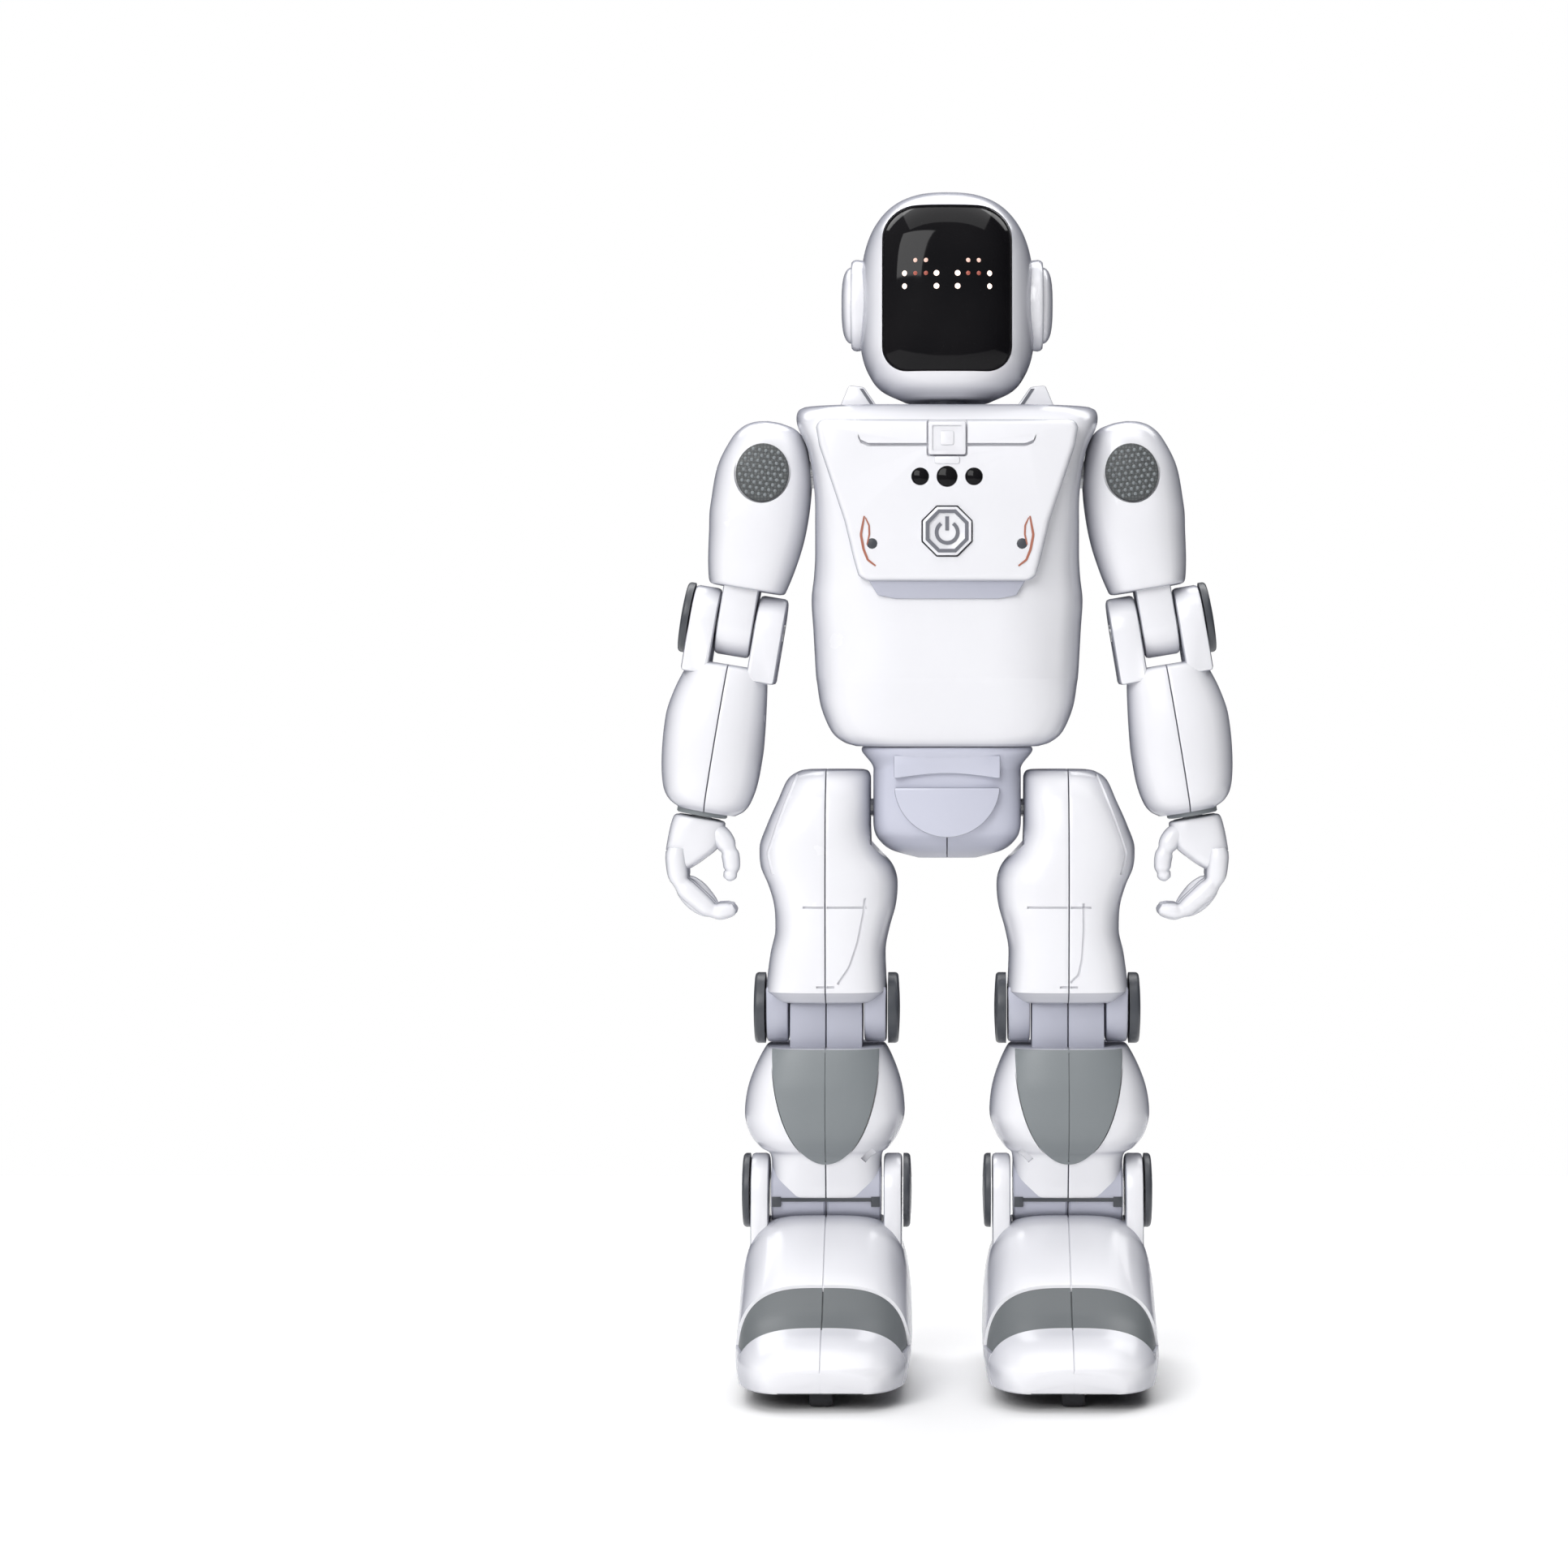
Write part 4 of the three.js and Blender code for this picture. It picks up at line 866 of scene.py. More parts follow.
def screw(name, centre):
    """A small cross-head screw seen from behind."""
    head = turned(name, [(-1, 2.0), (0.5, 2.0), (0.9, 1.4), (0.95, TIP)], 1, centre, 24)
    x, y, z = centre
    combine(head, block("slot_a", (x - 1.4, y + 0.3, z - 0.25), (x + 1.4, y + 2, z + 0.25)))
    combine(head, block("slot_b", (x - 0.25, y + 0.3, z - 1.4), (x + 0.25, y + 2, z + 1.4)))
    return head


# ---------------------------------------------------------------- more shapes


def lug_outline(z, radius, foot, steps=24):
    """A round eye on a straight neck that reaches the height of its foot, as (y, z) points."""
    way = 1 if foot < z else -1
    turns = [math.pi * k / steps for k in range(steps + 1)]
    arc = [(radius * math.cos(t), z + way * radius * math.sin(t)) for t in turns]
    return arc + [(-radius, foot), (radius, foot)]


def lug(name, z, radius, foot, low, high, edge=0.8):
    return soften(prism(name, lug_outline(z, radius, foot), low, high, axis=0), edge)


PINCH = 0.2
PINCH_LENGTH = 0.035


def tube(name, path, joints, steps=18):
    """A rounded limb through rows [x, y, z, radius], pinched at its joints (shares of its length)."""
    rows = np.array(blend_rows(path, 8))
    along = np.gradient(rows[:, :3], axis=0)
    along /= np.linalg.norm(along, axis=1)[:, None]
    depth = np.array([0.0, 1.0, 0.0])
    points = []
    last = len(rows) - 1
    for k, (row, direction) in enumerate(zip(rows, along)):
        pinch = sum(PINCH * math.exp(-(((k / last - joint) / PINCH_LENGTH) ** 2)) for joint in joints)
        radius = row[3] * (1 - pinch)
        across = np.cross(direction, depth)
        across /= np.linalg.norm(across)
        up = np.cross(across, direction)
        for i in range(steps):
            angle = 2 * math.pi * i / steps
            points.append(row[:3] + radius * (math.cos(angle) * across + math.sin(angle) * up))
    return new_piece(name, points, grid_faces(len(rows), steps))


def side_cap(name, radius, thickness, centre, crown=0.5):
    """A dark round cover on the outer face of a joint, with a rounded edge and a crowned face."""
    profile = rounded_disc(radius, thickness, min(1.2, thickness * 0.45), crown=crown)
    return turned(name, profile, 0, centre)


# ---------------------------------------------------------------- pelvis

PELVIS = even([
    [212.7, 28.6, -19.4, 19.4, 3.4], [211.6, 29, -20, 20, 3.4], [206.6, 25.4, -17.6, 17.6, 3.6],
    [203, 25, -17.2, 17.2, 3.8], [192, 25, -17, 17, 4], [185, 24.8, -15.4, 15.4, 4],
    [181, 23, -12.6, 12.8, 3.8], [177.6, 18.8, -8.6, 9, 3.2], [175, 10, -2.4, 2.6, 2.4],
])
DISC_RADIUS = 17.8
DISC_Z = 200.4
PLATE_Z = (202.4, 210)
PLATE_RISE = 1.6
PLATE_REACH = 16.6


def pelvis():
    front = loft("pelvis_front_skin", PELVIS, axis=1, side=-1)
    half = [(x, z) for x, z in circle_outline(0, DISC_Z, DISC_RADIUS, 96) if z < DISC_Z]
    disc = soften(prism("pelvis_disc", half, -18.8, -8), 0.7)
    low, top = PLATE_Z
    arch = [(-DISC_RADIUS, low), (-DISC_RADIUS, top), (DISC_RADIUS, top), (DISC_RADIUS, low)]
    for k in range(17):
        x = PLATE_REACH - 2 * PLATE_REACH * k / 16
        arch.append((x, low + PLATE_RISE * math.sin(math.pi * k / 16)))
    plate = soften(prism("pelvis_plate", arch, -18.9, -8), 0.5)
    combine(front, disc, "UNION")
    combine(front, plate, "UNION")
    combine(front, prism("pelvis_seam", rounded_outline(0.2, 174, 182.4, 0.1, 2), FAR_FRONT, -1))
    rear = loft("pelvis_rear_skin", PELVIS, axis=1, side=1)
    # The pelvis takes the lighter copy of the grey, which paints light onto it.
    finish(on_body(front), LIT_GREY, "torso", "pelvis_front_shell")
    finish(on_body(rear), LIT_GREY, "torso", "pelvis_rear_shell")


# ---------------------------------------------------------------- arms, drawn hanging down from the shoulder

UPPER_ARM_ROWS = [
    [18, -3.4, 2.6, -4.6, 4.6, 2.2], [17, -7.6, 6.6, -8.2, 8.2, 2.2],
    [14.6, -10.8, 10.2, -11.6, 11.6, 2.3], [10, -13.4, 13.2, -14, 14, 2.4],
    [0, -16.3, 16.2, -16.8, 16.8, 2.5], [-13, -17.2, 16.4, -17.2, 17.2, 2.5],
    [-22, -16.8, 15.4, -16.6, 16.6, 2.5], [-31, -15.4, 14.2, -15.4, 15.4, 2.6],
    [-37, -14, 13, -14, 14, 2.7], [-38.9, -13.3, 12.2, -13.2, 13.2, 2.7],
    [-39.4, -12, 11, -12, 12, 2.7],
]
FOREARM_ROWS = [
    [-65.6, -9.6, 12.6, -10.4, 10.4, 2.6], [-66.6, -11.4, 14.6, -12.2, 12.2, 2.6],
    [-70, -12.6, 16, -13.6, 13.6, 2.6], [-77, -13.6, 18.2, -15, 15, 2.5],
    [-86, -14.6, 19.6, -16, 16, 2.5], [-95, -15.2, 19.2, -16.2, 16.2, 2.5],
    [-104, -15, 18, -15.6, 15.6, 2.5], [-110.5, -13.8, 16.2, -14.4, 14.4, 2.5],
    [-114, -12, 13.6, -12.4, 12.4, 2.45], [-116, -9.4, 10, -9.6, 9.6, 2.4],
]
FOREARM_SEAM = 1.0
ELBOW_EYE = 11.5
ELBOW_TONGUE = 10.5
GRILLE = (8.9, 9.8)
GRILLE_PITCH = 2.1
PALM_ROWS = [
    [-118.2, -4.4, 9.6, -5.6, 5.6, 3], [-119.6, -6.4, 11.4, -7, 7, 3.2],
    [-127, -5.6, 12, -7.6, 7.6, 3.4], [-132, -1.6, 11.9, -7.6, 7.6, 3.4],
    [-135.4, 2, 11.2, -7.2, 7.2, 3.2], [-136.6, 4, 10, -6, 6, 3],
]


def on_arm(piece, sign):
    return moved(piece, (SHOULDER[0], BODY_Y, SHOULDER[2]), ARM_TILT, sign)


def ellipse_outline(half_x, half_z, steps=48):
    turns = [2 * math.pi * i / steps for i in range(steps)]
    return [(half_x * math.cos(t), half_z * math.sin(t)) for t in turns]


def upper_arm(side, sign):
    body = f"{side}_upper_arm"
    front = loft(f"{side}_arm_front_skin", UPPER_ARM_ROWS, axis=1, side=-1)
    rear = loft(f"{side}_arm_rear_skin", UPPER_ARM_ROWS, axis=1, side=1)
    combine(front, prism("grille_room", ellipse_outline(GRILLE[0] + 0.6, GRILLE[1] + 0.6), FAR_FRONT, -14.5))
    for piece, edge in ((front, -1), (rear, 1)):
        tongue = lug("tongue", -UPPER_ARM, ELBOW_TONGUE, -37, -5, 7, 1.2)
        low, high = (-30, -SEAM_GAP / 2) if edge > 0 else (SEAM_GAP / 2, 30)
        combine(tongue, block("half", (-30, low, -80), (30, high, 0)))
        combine(piece, tongue, "UNION")
    finish(on_arm(front, sign), WHITE, body, f"{side}_upper_arm_front_shell")
    finish(on_arm(rear, sign), WHITE, body, f"{side}_upper_arm_rear_shell")
    grille(side, sign, body)


def grille(side, sign, body):
    """A dark oval grille with rows of small raised dots."""
    plate = soften(prism(f"{side}_grille_plate", ellipse_outline(*GRILLE), -16.3, -13), 0.5)
    finish(on_arm(plate, sign), GRILLE_PLASTIC, body, f"{side}_shoulder_grille")
    dots = []
    for row in range(-5, 6):
        for column in range(-5, 6):
            x, z = (column + row % 2 / 2) * GRILLE_PITCH, row * GRILLE_PITCH * 0.87
            if (x / GRILLE[0]) ** 2 + (z / GRILLE[1]) ** 2 < 0.82:
                dots.append(dome("dot", x, -16.3, z, 0.62, 0.35))
    finish(on_arm(join(f"{side}_grille_dots", dots), sign), INSERT, body)


def forearm(side, sign):
    body = f"{side}_forearm"
    for place, half, lug_x in (("inner", -1, (-15.2, -5.6)), ("outer", 1, (7.6, 16.6))):
        shell = loft(f"{side}_forearm_{place}_skin", FOREARM_ROWS, axis=0, side=half, seam=FOREARM_SEAM)
        combine(shell, lug("elbow_eye", -UPPER_ARM, ELBOW_EYE, -70, *lug_x, 1.3), "UNION")
        finish(on_arm(shell, sign), WHITE, body, f"{side}_forearm_{place}_shell")
    cap = side_cap(f"{side}_elbow_cover", 12.0, 3.0, (16.8, 0, -UPPER_ARM))
    finish(on_arm(cap, sign), CHARCOAL, body, f"{side}_elbow_pin")
    rod = [(-15.5, 2.2), (-15.5, 2.9), (16.9, 2.9), (16.9, 2.2)]
    pivot = turned(f"{side}_elbow_pivot", rod, 0, (0, 0, -UPPER_ARM), 24)
    finish(on_arm(pivot, sign), STEEL, body)
    # A dark ring at the wrist: painted shade, standing in for the shadow in the gap between forearm and hand.
    ring = [(-1.3, 3.8), (-1.3, 8.2), (-0.9, 8.6), (0.6, 8.6), (0.6, 3.8)]
    wrist = turned(f"{side}_wrist_gap_shade", ring, 2, (2, 0, -116.2), 40)
    finish(on_arm(wrist, sign), INSERT, body)


def hand(side, sign):
    """A palm on a wrist peg, four curled fingers and a thumb."""
    body = f"{side}_hand"
    palm = loft(f"{side}_palm", PALM_ROWS)
    peg = turned("wrist_peg", [(0, 3.4), (12, 3.4)], 2, (2, 0, -124), 24)
    combine(palm, peg, "UNION")
    for y in (-3.8, 0, 3.8):
        combine(palm, block("knuckle_line", (-20, y - 0.25, -140), (4 if y else 3, y + 0.25, -130.5)))
    combine(palm, block("knuckle_groove", (8, -20, -131.6), (20, 20, -131)))
    finish(on_arm(palm, sign), WHITE, body, f"{side}_hand")
    fingers = []
    for k, y in enumerate((-5.7, -1.9, 1.9, 5.7)):
        curl = 1 - 0.05 * abs(k - 1)
        path = [[8.2, y, -129.6, 3.0], [7.8, y, -133.4, 3.6], [5.2, y, -140.4, 3.5]]
        path += [[-0.8, y, -146.6 * curl**0.2, 3.35], [-8, y, -148.6, 3.0], [-12.4, y, -147.6, 2.6]]
        path += [[-14.2, y, -146.6, 1.7], [-14.6, y, -146.3, 0.2]]
        fingers.append(tube(f"finger_{k}", path, joints=(0.3, 0.56)))
    finish(on_arm(join(f"{side}_fingers", fingers), sign), WHITE, body)
    path = [[-1.6, -2.6, -121.8, 3.4], [-6, -3.4, -123.6, 3.5], [-9.8, -4.2, -128.6, 3.1]]
    path += [[-11.2, -4.2, -134.2, 2.7], [-10.6, -4, -137, 1.8], [-10.4, -3.9, -137.6, 0.2]]
    thumb = tube(f"{side}_thumb", path, joints=(0.36, 0.62))
    finish(on_arm(thumb, sign), WHITE, body)


# ---------------------------------------------------------------- legs, drawn about the leg's own middle line

LEG_X = KNEE[0]
THIGH_ROWS = [
    [205, -12.6, 6.4, -7.6, 7.6, 2.4], [204.3, -14.2, 9.6, -10.8, 10.8, 2.5],
    [201.5, -15, 13.4, -14, 14, 2.8], [194.5, -15, 16.6, -18, 18, 3], [186.4, -15, 20.2, -20, 20, 3],
    [178.3, -18, 22.8, -20.6, 20.6, 3], [172, -22.6, 22.3, -21, 20.6, 3],
    [166, -24, 19.8, -21.4, 20.4, 3], [159, -23.4, 17.8, -21.3, 20, 3],
    [151, -21.2, 17.4, -20.5, 19.3, 3], [143, -19.9, 19, -19.8, 18.8, 3.2],
    [134, -20.2, 20.2, -19.2, 18.6, 3.4], [130.8, -20.4, 20.5, -18.8, 18.2, 3.6],
    [130, -20, 20.1, -18.2, 17.6, 3.6], [126.6, -16.6, 16.6, -13.6, 13, 4],
]
SHIN_ROWS = [
    [111.6, -19, 19.4, -16.8, 16.8, 3.2], [110.8, -20.4, 20.8, -18.2, 18.4, 3.2],
    [104.4, -23.4, 24.2, -20, 21, 3], [97, -25.6, 26.8, -21.2, 22.4, 2.9],
    [89, -26.4, 27.8, -21.2, 22.6, 2.9], [82, -24.4, 26.2, -20, 21.4, 2.9],
    [77.5, -21.4, 22.8, -17.6, 18.6, 3], [74.6, -18.8, 19, -15.6, 16, 3.2],
    [66, -18.6, 18.6, -12.4, 12.6, 3.4], [61, -18.4, 18.4, -11.2, 11.2, 3.6],
    [60.2, -17.6, 17.6, -10.2, 10.2, 3.6],
]
THIGH_GROOVES = {
    "left": [(4.8, 160.6), (5.0, 152), (4.4, 142), (3.2, 136.6), (0.6, 134)],
    "right": [(-13.4, 162.4), (-12.8, 156.8), (-10.9, 147.4), (-8.2, 139.3), (-4.2, 133.4)],
}
PANEL_TOP = 111.4
PANEL_DROP = 38.8
PANEL_HALF = 18.0
KNEE_EYE = (12.8, 20.3)
ANKLE_EYE = (19.4, 25.5)
ROOM = 0.8
TONGUE_ROOM = 12.6
THIGH_FLANGE = [(9.6, 203.4), (12.6, 196), (16, 187), (19.4, 177), (17.6, 170)]
TOP_GROOVE = [(-14.0, 159.2), (7.4, 159.2)]
LOW_GROOVE = [(-3, 132.4), (3, 132.4)]
SHIN_SLOT = [(-16.4, 77.2), (-14.4, 75.8), (-12.6, 73.8)]


def on_leg(piece, sign):
    return moved(piece, (LEG_X, BODY_Y, 0), 0.0, sign)


def axle_room(z, radius, low, high):
    return turned("axle_room", [(low, radius), (high, radius)], 0, (0, 0, z), 64)


def surface_groove(piece, line, width=0.5, depth=0.45):
    """Cuts a line of (x, z) points into the front of a piece."""
    line = resample(np.array(line, float), 24)
    across = sideways(line) * width / 2
    points = []
    for (x, z), (ax, az) in zip(line, across):
        bottom = front_surface(piece, x, z) + depth
        points += [(x - ax, bottom, z - az), (x - ax, bottom - 4, z - az), (x + ax, bottom - 4, z + az)]
        points.append((x + ax, bottom, z + az))
    return combine(piece, new_piece("groove", points, grid_faces(len(line), 4)))


def pivot_covers(side, sign, joint, radius, thickness, centre, body):
    """The dark covers at both ends of a knee or ankle pin. The outer one stands for the pin's CAD node."""
    for place, flip in PLACES.items():
        cap = side_cap(f"{side}_{joint}_cover_{place}", radius, thickness, centre)
        nodes = [f"{side}_{joint}_pin"] if place == "outer" else []
        finish(on_leg(moved(cap, mirror=flip), sign), CHARCOAL, body, *nodes)


def bent_tongue_room():
    """The room that the shin's tongue needs in the thigh when the knee is bent."""
    bend = math.radians(JOINTS["left_knee"]["range_deg"][1])
    c, s = math.cos(bend), math.sin(bend)
    outline = []
    for y, z in lug_outline(KNEE[2], ELBOW_TONGUE + ROOM, 107):
        rise = z - KNEE[2]
        outline.append((y * c - rise * s, KNEE[2] + rise * c + y * s))
    return prism("bent_tongue", outline, -TONGUE_ROOM, TONGUE_ROOM, axis=0)


def thigh(side, sign):
    body = f"{side}_thigh"
    for place, half in PLACES.items():
        shell = loft(f"{side}_thigh_{place}_skin", THIGH_ROWS, axis=0, side=half)
        if half < 0:
            combine(shell, axle_room(HIP[2], 18.1, -40, -14.9))
        combine(shell, axle_room(KNEE[2], ELBOW_TONGUE + ROOM, -TONGUE_ROOM, TONGUE_ROOM))
        combine(shell, bent_tongue_room())
        for line in (TOP_GROOVE, THIGH_GROOVES[side], LOW_GROOVE):
            inside = [p for p in resample(np.array(line, float), 60) if half * p[0] > 0.4]
            if len(inside) > 3:
                surface_groove(shell, inside, 0.8, 0.7)
        if half > 0:
            surface_groove(shell, THIGH_FLANGE, 0.9, 0.8)
        finish(on_leg(shell, sign), WHITE, body, f"{side}_thigh_{place}_shell")
    for place, flip in PLACES.items():
        eye = moved(lug(f"{side}_knee_eye_{place}", KNEE[2], ELBOW_EYE, 132, *KNEE_EYE, 1.0), mirror=flip)
        finish(on_leg(eye, sign), GREY, body)
    pivot_covers(side, sign, "knee", 12.0, 4.0, (20.8, 0, KNEE[2]), body)


def panel_outline(room=0.0):
    half, drop = PANEL_HALF + room, PANEL_DROP + room
    turns = [math.pi * k / 48 for k in range(49)]
    return [(half * math.cos(t), PANEL_TOP - drop * math.sin(t)) for t in turns]


def shin(side, sign):
    body = f"{side}_shin"
    for place, half in PLACES.items():
        shell = loft(f"{side}_shin_{place}_skin", SHIN_ROWS, axis=0, side=half)
        profile = [(0.15, 10.2), (0.9, 11), (17.8, 11), (18.5, 10.2)]
        barrel = turned(f"{side}_ankle_barrel_{place}", profile, 0, (0, 0, ANKLE[2]), 64)
        finish(on_leg(moved(barrel, mirror=half), sign), GREY, body)
        combine(shell, prism("panel_room", panel_outline(0.35), FAR_FRONT, -16.4))
        if half < 0:
            surface_groove(shell, SHIN_SLOT, 2.2, 1.9)
        finish(on_leg(shell, sign), WHITE, body, f"{side}_shin_{place}_shell")
        tongue = lug(f"{side}_knee_tongue_{place}", KNEE[2], ELBOW_TONGUE, 107, 0.15, 12.2, 0.5)
        finish(on_leg(moved(tongue, mirror=half), sign), GREY, body)
    panel = loft(f"{side}_shin_plate", grown(SHIN_ROWS, 0.45), rows=5, count=120)
    combine(panel, prism("panel_outline", panel_outline(), FAR_FRONT, -12.6), "INTERSECT")
    soften(panel, 0.4)
    surface_groove(panel, [(0, 112), (0, 100), (0, 72)], 0.35, 0.4)
    finish(on_leg(panel, sign), INSERT, body, f"{side}_shin_panel")
    shadow_line(side, sign, body)


def shadow_line(side, sign, body):
    """A dark strip below the shin, painted shade for the gap above the foot, with a small block at each end."""
    strip = block(f"{side}_shin_shadow_strip", (-18.0, -11.4, 59.6), (18.0, -8.6, 60.8))
    for flip in (-1, 1):
        low, high = sorted((flip * 15.2, flip * 18.2))
        combine(strip, block("shadow_strip_end", (low, -11.5, 57.8), (high, -8.4, 61.2)), "UNION")
    finish(on_leg(soften(strip, 0.3), sign), CHARCOAL, body)


# ---------------------------------------------------------------- feet

# Rows: reach forwards, half width, height of the top, squareness.
FOOT_ROWS = [
    [-42, 17.6, 22, 2.6], [-41.4, 20.4, 27, 2.7], [-38.5, 24, 38, 3], [-28, 27, 49, 3.4],
    [-10, 28.4, 54.6, 4], [4, 29, 55, 4], [14, 29, 54, 4], [24, 29, 48.5, 3.6], [38, 29, 37.8, 3.3],
    [46, 28.8, 29.4, 3.1], [54, 28.2, 25.2, 3], [60, 26.6, 22.6, 2.8], [65, 24.2, 19.6, 2.7],
    [68.6, 21, 16.4, 2.6], [70.4, 18.2, 14.4, 2.6], [71, 16.2, 13.2, 2.6],
]
WALL_TOP = 14.0
UNDERCUT = 0.045
SEAM_WIDTH = 0.5
SEAM_DEPTH = 0.6
SOLE_Z = 3.5
SHELL_Z = 6.2
BAND = (39.6, 54.4)
BAND_LOW = 16.5
WHEEL = (9.0, 6.0, 18.0, 22.0)
ROLLER = (4.6, 7.4, -58.0)
AXLE_PAST_WHEEL = 3


def foot_ring(row, base, inset=0.0, points=72):
    """A section of the foot, as (x, z) points: an arch on a flat base."""
    _, half, top, square = row
    half, top = half - inset, top - inset
    arch = []
    for k in range(points + 1):
        turn = math.pi * k / points
        c, s = math.cos(turn), math.sin(turn)
        reach = (abs(c) ** square + abs(s) ** square) ** (-1 / square)
        arch.append((half * reach * c, base + (top - base) * reach * s))
    return arch + [(-half + 0.5, base - 0.4), (half - 0.5, base - 0.4)]


def foot_loft(name, rows, base, inset=0.0):
    points = []
    for row in blend_rows(rows, 5):
        for x, z in foot_ring(row, base, inset):
            taper = 1 - UNDERCUT * max(0.0, WALL_TOP - z) / (WALL_TOP - base)
            points.append((x * taper, -row[0] * taper, z))
    size = len(foot_ring(rows[0], base))
    return new_piece(name, points, grid_faces(len(points) // size, size))


def foot_seam(depth=SEAM_DEPTH):
    """A thin slab along the foot's middle line, from the instep to the toe."""
    top = [(-row[0], row[2]) for row in blend_rows(FOOT_ROWS, 5) if row[0] > -8]
    top = np.array(top + [(-71.2 + k * 0.45, 12.6 - k) for k in range(8)])
    out = -sideways(top)
    outline = [tuple(p) for p in top + 3 * out] + [tuple(p) for p in (top - depth * out)[::-1]]
    return prism("foot_seam", outline, -SEAM_WIDTH / 2, SEAM_WIDTH / 2, axis=0)


def between(low, high, z_low=-5, z_high=90):
    """A block that spans the foot from one reach to another."""
    return block("between", (-60, -high, z_low), (60, -low, z_high))


def wheel_wells(piece):
    radius, width, x, y = WHEEL
    for side in (-1, 1):
        low = (side * x - width / 2 - ROOM, y - radius - ROOM - 0.4, -5)
        high = (side * x + width / 2 + ROOM, y + radius + ROOM + 0.4, 2 * radius + ROOM)
        combine(piece, block("well", low, high))
    radius, width, y = ROLLER[0], ROLLER[1], ROLLER[2]
    low = (-width / 2 - ROOM, y - radius - ROOM, -5)
    return combine(piece, block("well", low, (width / 2 + ROOM, y + radius + ROOM, 2 * radius + ROOM)))


def foot(side, sign):
    body = f"{side}_foot"
    upper = foot_loft(f"{side}_foot_shell", FOOT_ROWS, SHELL_Z)
    combine(upper, between(BAND[1] + 0.15, 90))
    combine(upper, between(BAND[0], 90, z_low=BAND_LOW))
    combine(upper, axle_room(ANKLE[2], 12.4, -19.1, 19.1))
    for flip in (-1, 1):
        eye = moved(lug("ankle_eye", ANKLE[2], 12.5, 40, *ANKLE_EYE, 1.2), mirror=flip)
        combine(upper, eye, "UNION")
    combine(upper, foot_seam())
    wheel_wells(upper)
    finish(on_leg(upper, sign), WHITE, body, f"{side}_foot_upper")
    toe = foot_loft(f"{side}_toe_shell", FOOT_ROWS, SHELL_Z)
    combine(toe, between(-90, BAND[1] + 0.45))
    combine(toe, foot_seam())
    wheel_wells(toe)
    finish(on_leg(toe, sign), WHITE, body, f"{side}_toe_cap")
    band = foot_loft(f"{side}_toe_band", FOOT_ROWS, SHELL_Z, 0.9)
    combine(band, between(BAND[0] + 0.1, BAND[1], BAND_LOW + 0.1), "INTERSECT")
    combine(band, foot_seam(SEAM_DEPTH + 0.9))
    finish(on_leg(band, sign), BAND_GREY, body)
    sole = foot_loft(f"{side}_sole_plate", FOOT_ROWS, SHELL_Z, 1.4)
    combine(sole, block("sole_slab", (-60, -90, SOLE_Z), (60, 90, SHELL_Z - 0.1)), "INTERSECT")
    wheel_wells(sole)
    finish(on_leg(sole, sign), INSERT, body, f"{side}_foot_chassis")
    pivot_covers(side, sign, "ankle", 12.5, 2.8, (26.0, 0, ANKLE[2]), body)
    wheels(side, sign)


def tyre_profile(radius, width):
    half = width / 2
    edge = [(1, 0.55), (1, 0.86), (0.85, 0.96), (0.5, 1)]
    near = [(-half * reach, radius * share) for reach, share in edge]
    return near + [(-along, height) for along, height in reversed(near)]


def wheels(side, sign):
    radius, width, x, y = WHEEL
    tyres = [turned("tyre", tyre_profile(radius, width), 0, (s * x, y, radius), 48) for s in (-1, 1)]
    body = f"{side}_drive_wheels"
    finish(on_leg(join(f"{side}_tyres", tyres), sign), RUBBER, body, body)
    end = x + AXLE_PAST_WHEEL
    rod = [(-end, 1.2), (-end, 1.5), (end, 1.5), (end, 1.2)]
    finish(on_leg(turned(f"{side}_axle", rod, 0, (0, y, radius), 16), sign), STEEL, body)
    radius, width, y = ROLLER
    roller = turned(f"{side}_roller", tyre_profile(radius, width), 0, (0, y, radius), 40)
    finish(on_leg(roller, sign), RUBBER, f"{side}_front_roller", f"{side}_front_roller")


# ---------------------------------------------------------------- stage, light and camera

CAMERA_AWAY = 1.20
CAMERA_HEIGHT = 0.235
FRAME_WIDTH = 0.520
SENSOR = 36.0
SHIFT_X = -0.104
AIM_HEIGHT = 0.2008
SOFT_LIGHT = (-0.45, -0.75, 0.48)
SHADE_SIDE = (0.04, 0.04, 0.05, 1)
LIGHT_SIDE = (0.34, 0.34, 0.35, 1)
FLOOR_SIDE = 0.9
FLOOR_FRONT = -1.0
FLOOR_BACK = 0.5
BODY_FRONT = 0.03  # metres from the middle plane of the body to its front


def stage():
    """A plain pale floor."""
    mesh = bpy.data.meshes.new("floor")
    front = [(x, FLOOR_FRONT, 0) for x in (-FLOOR_SIDE, FLOOR_SIDE)]
    back = [(x, FLOOR_BACK, 0) for x in (FLOOR_SIDE, -FLOOR_SIDE)]
    mesh.from_pydata(front + back, [], [(0, 1, 2, 3)])
    floor = bpy.data.objects.new("floor", mesh)
    bpy.context.scene.collection.objects.link(floor)
    n = Nodes("pale_floor")
    n.link(n.ramp(n.noise(8.0), [(0.3, 0.93), (0.7, 0.96)]), n.shader.inputs["Base Color"])
    n.shader.inputs["Roughness"].default_value = 0.7
    mesh.materials.append(n.material)


def area_light(name, place, size, power, aim=(0, 0, 0.2)):
    data = bpy.data.lights.new(name, "AREA")
    data.shape = "RECTANGLE"
    data.size, data.size_y = size
    data.energy = power
    light = bpy.data.objects.new(name, data)
    light.location = place
    light.rotation_euler = (Vector(aim) - Vector(place)).to_track_quat("-Z", "Y").to_euler()
    bpy.context.scene.collection.objects.link(light)


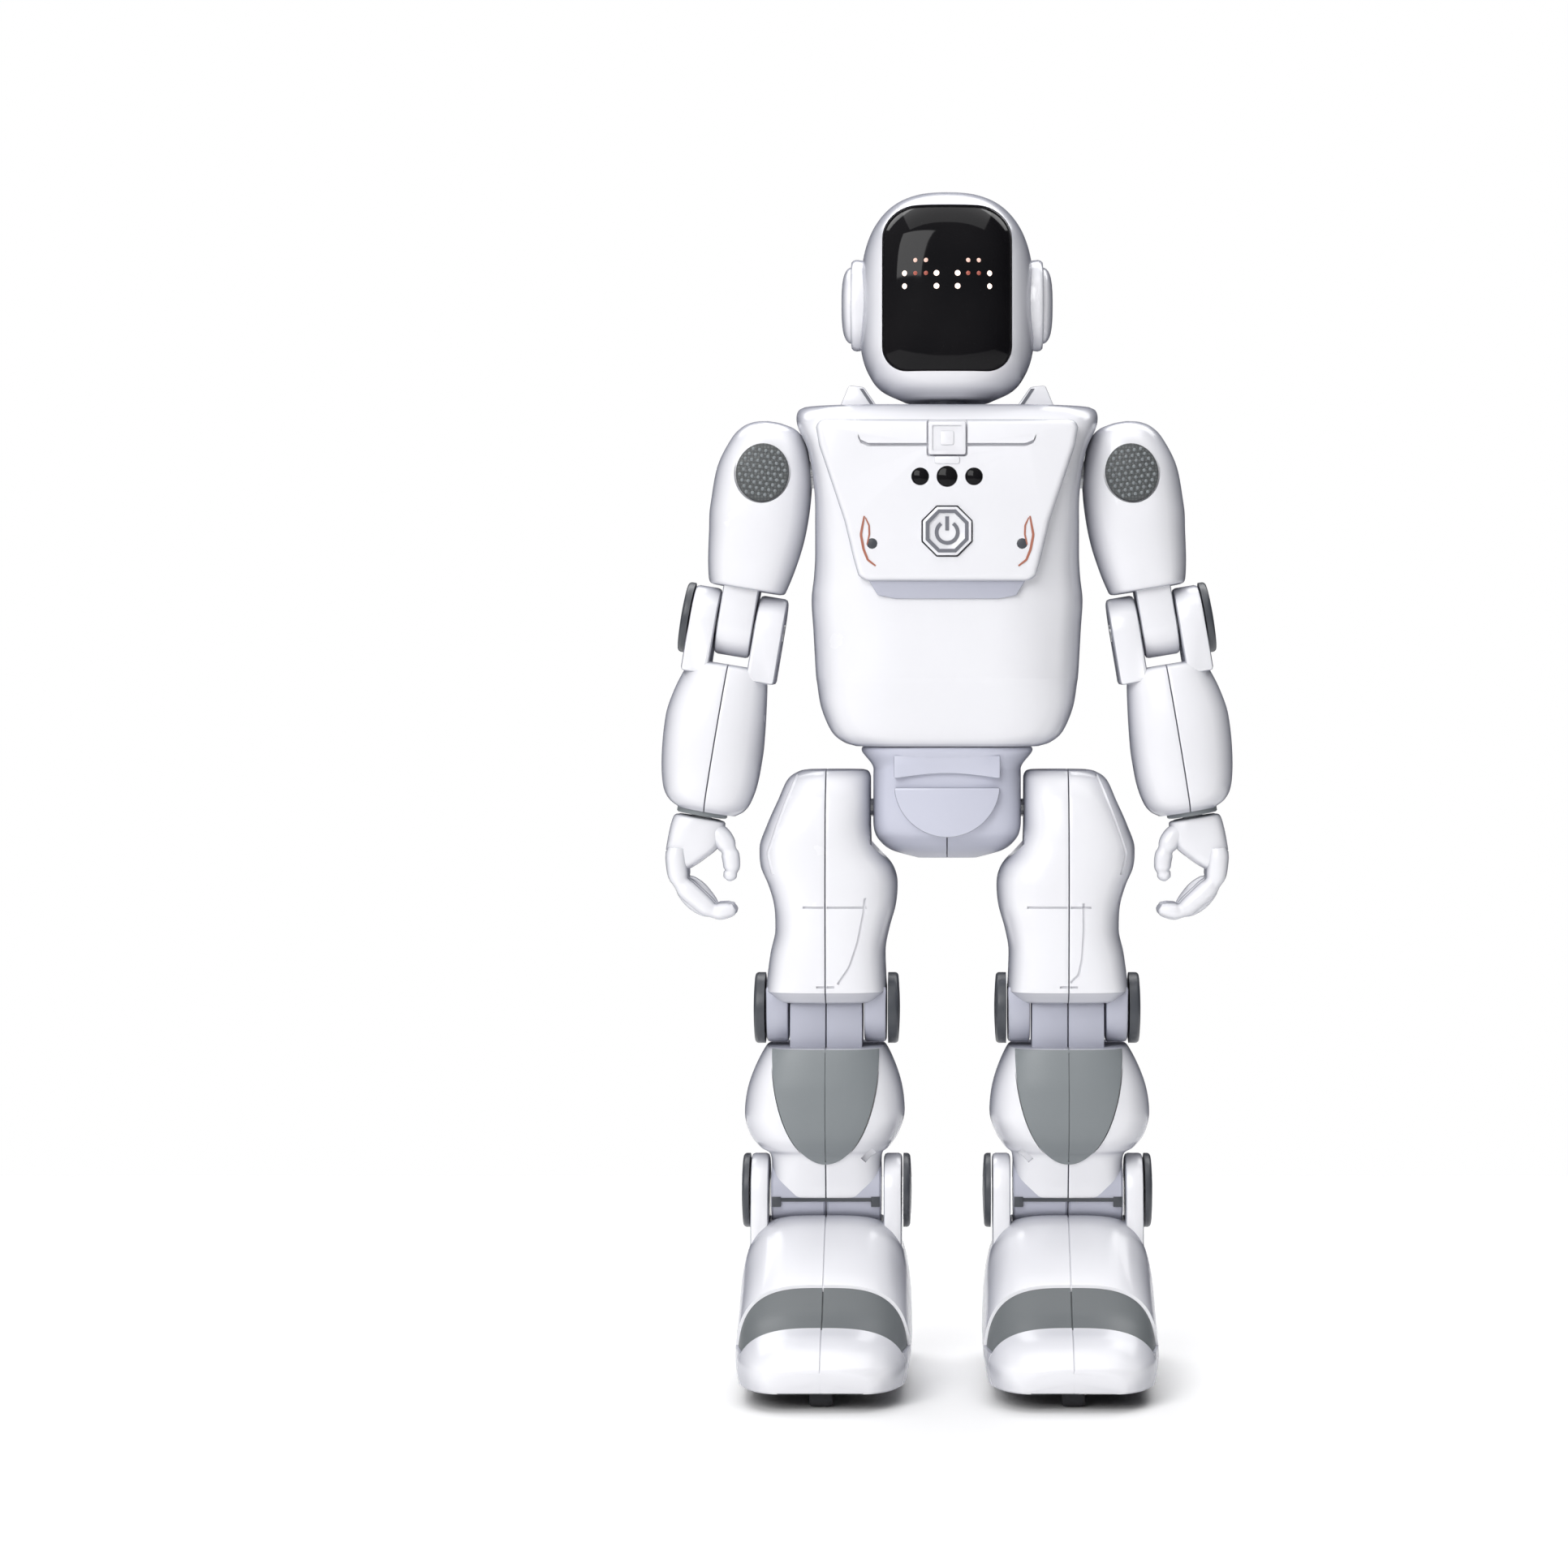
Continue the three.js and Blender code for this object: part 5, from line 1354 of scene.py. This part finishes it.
def lights():
    area_light("key", (-0.8, -1.5, 1.2), (1.2, 1.2), 24)
    area_light("top", (0.0, -0.1, 1.7), (1.6, 1.6), 15)
    area_light("floor_wash", (0.0, 0.6, 1.2), (2.0, 0.6), 15, aim=(0.0, 0.45, 0.0))
    world = bpy.data.worlds.new("studio")
    world.use_nodes = True
    tree = world.node_tree
    background = tree.nodes["Background"]
    direction = tree.nodes.new("ShaderNodeTexCoord")
    towards = tree.nodes.new("ShaderNodeVectorMath")
    towards.operation = "DOT_PRODUCT"
    towards.inputs[1].default_value = SOFT_LIGHT
    tree.links.new(direction.outputs["Generated"], towards.inputs[0])
    ramp = tree.nodes.new("ShaderNodeValToRGB")
    ramp.color_ramp.elements[0].position = 0.05
    ramp.color_ramp.elements[0].color = SHADE_SIDE
    ramp.color_ramp.elements[1].position = 0.8
    ramp.color_ramp.elements[1].color = LIGHT_SIDE
    tree.links.new(towards.outputs["Value"], ramp.inputs["Fac"])
    path = tree.nodes.new("ShaderNodeLightPath")
    mix = tree.nodes.new("ShaderNodeMix")
    mix.data_type = "RGBA"
    mix.inputs[7].default_value = (1, 1, 1, 1)
    tree.links.new(path.outputs["Is Camera Ray"], mix.inputs[0])
    tree.links.new(ramp.outputs["Color"], mix.inputs[6])
    tree.links.new(mix.outputs[2], background.inputs["Color"])
    bpy.context.scene.world = world


def camera():
    data = bpy.data.cameras.new("camera")
    data.sensor_width = SENSOR
    data.lens = SENSOR * CAMERA_AWAY / FRAME_WIDTH
    data.shift_x = SHIFT_X
    data.shift_y = (AIM_HEIGHT - CAMERA_HEIGHT) / FRAME_WIDTH
    data.clip_start = 0.05
    seen = bpy.data.objects.new("camera", data)
    seen.location = (0, BODY_Y * MM - CAMERA_AWAY - BODY_FRONT, CAMERA_HEIGHT)
    seen.rotation_euler = (math.pi / 2, 0, 0)
    bpy.context.scene.collection.objects.link(seen)
    bpy.context.scene.camera = seen


# ---------------------------------------------------------------- what shows only when it is taken apart

INNER_MATERIALS = {
    "led_board": BOARD,
    "main_board": BOARD,
    "neck_post": GREY,
    "battery_pack": BATTERY,
    "speaker": CONE_PAPER,
    "leg_motor": MOTOR_CASE,
    "hip_shaft": STEEL,
    "left_shoulder_shaft": STEEL,
    "right_shoulder_shaft": STEEL,
}


def inner_parts():
    """The carried-over CAD nodes keep their shape and get a node material."""
    for node, material in INNER_MATERIALS.items():
        mesh = frame["nodes"][node].data
        mesh.materials.clear()
        mesh.materials.append(material)


# ---------------------------------------------------------------- the whole robot


def main():
    head_shells()
    face_screen()
    front = torso()
    chest_details(front)
    power_button()
    collar()
    battery_cover()
    pelvis()
    for side, sign in SIDES.items():
        ear(side, sign)
        upper_arm(side, sign)
        forearm(side, sign)
        hand(side, sign)
        thigh(side, sign)
        shin(side, sign)
        foot(side, sign)
    inner_parts()
    stage()
    lights()
    camera()


main()
bpy.context.scene.view_settings.view_transform = "Standard"
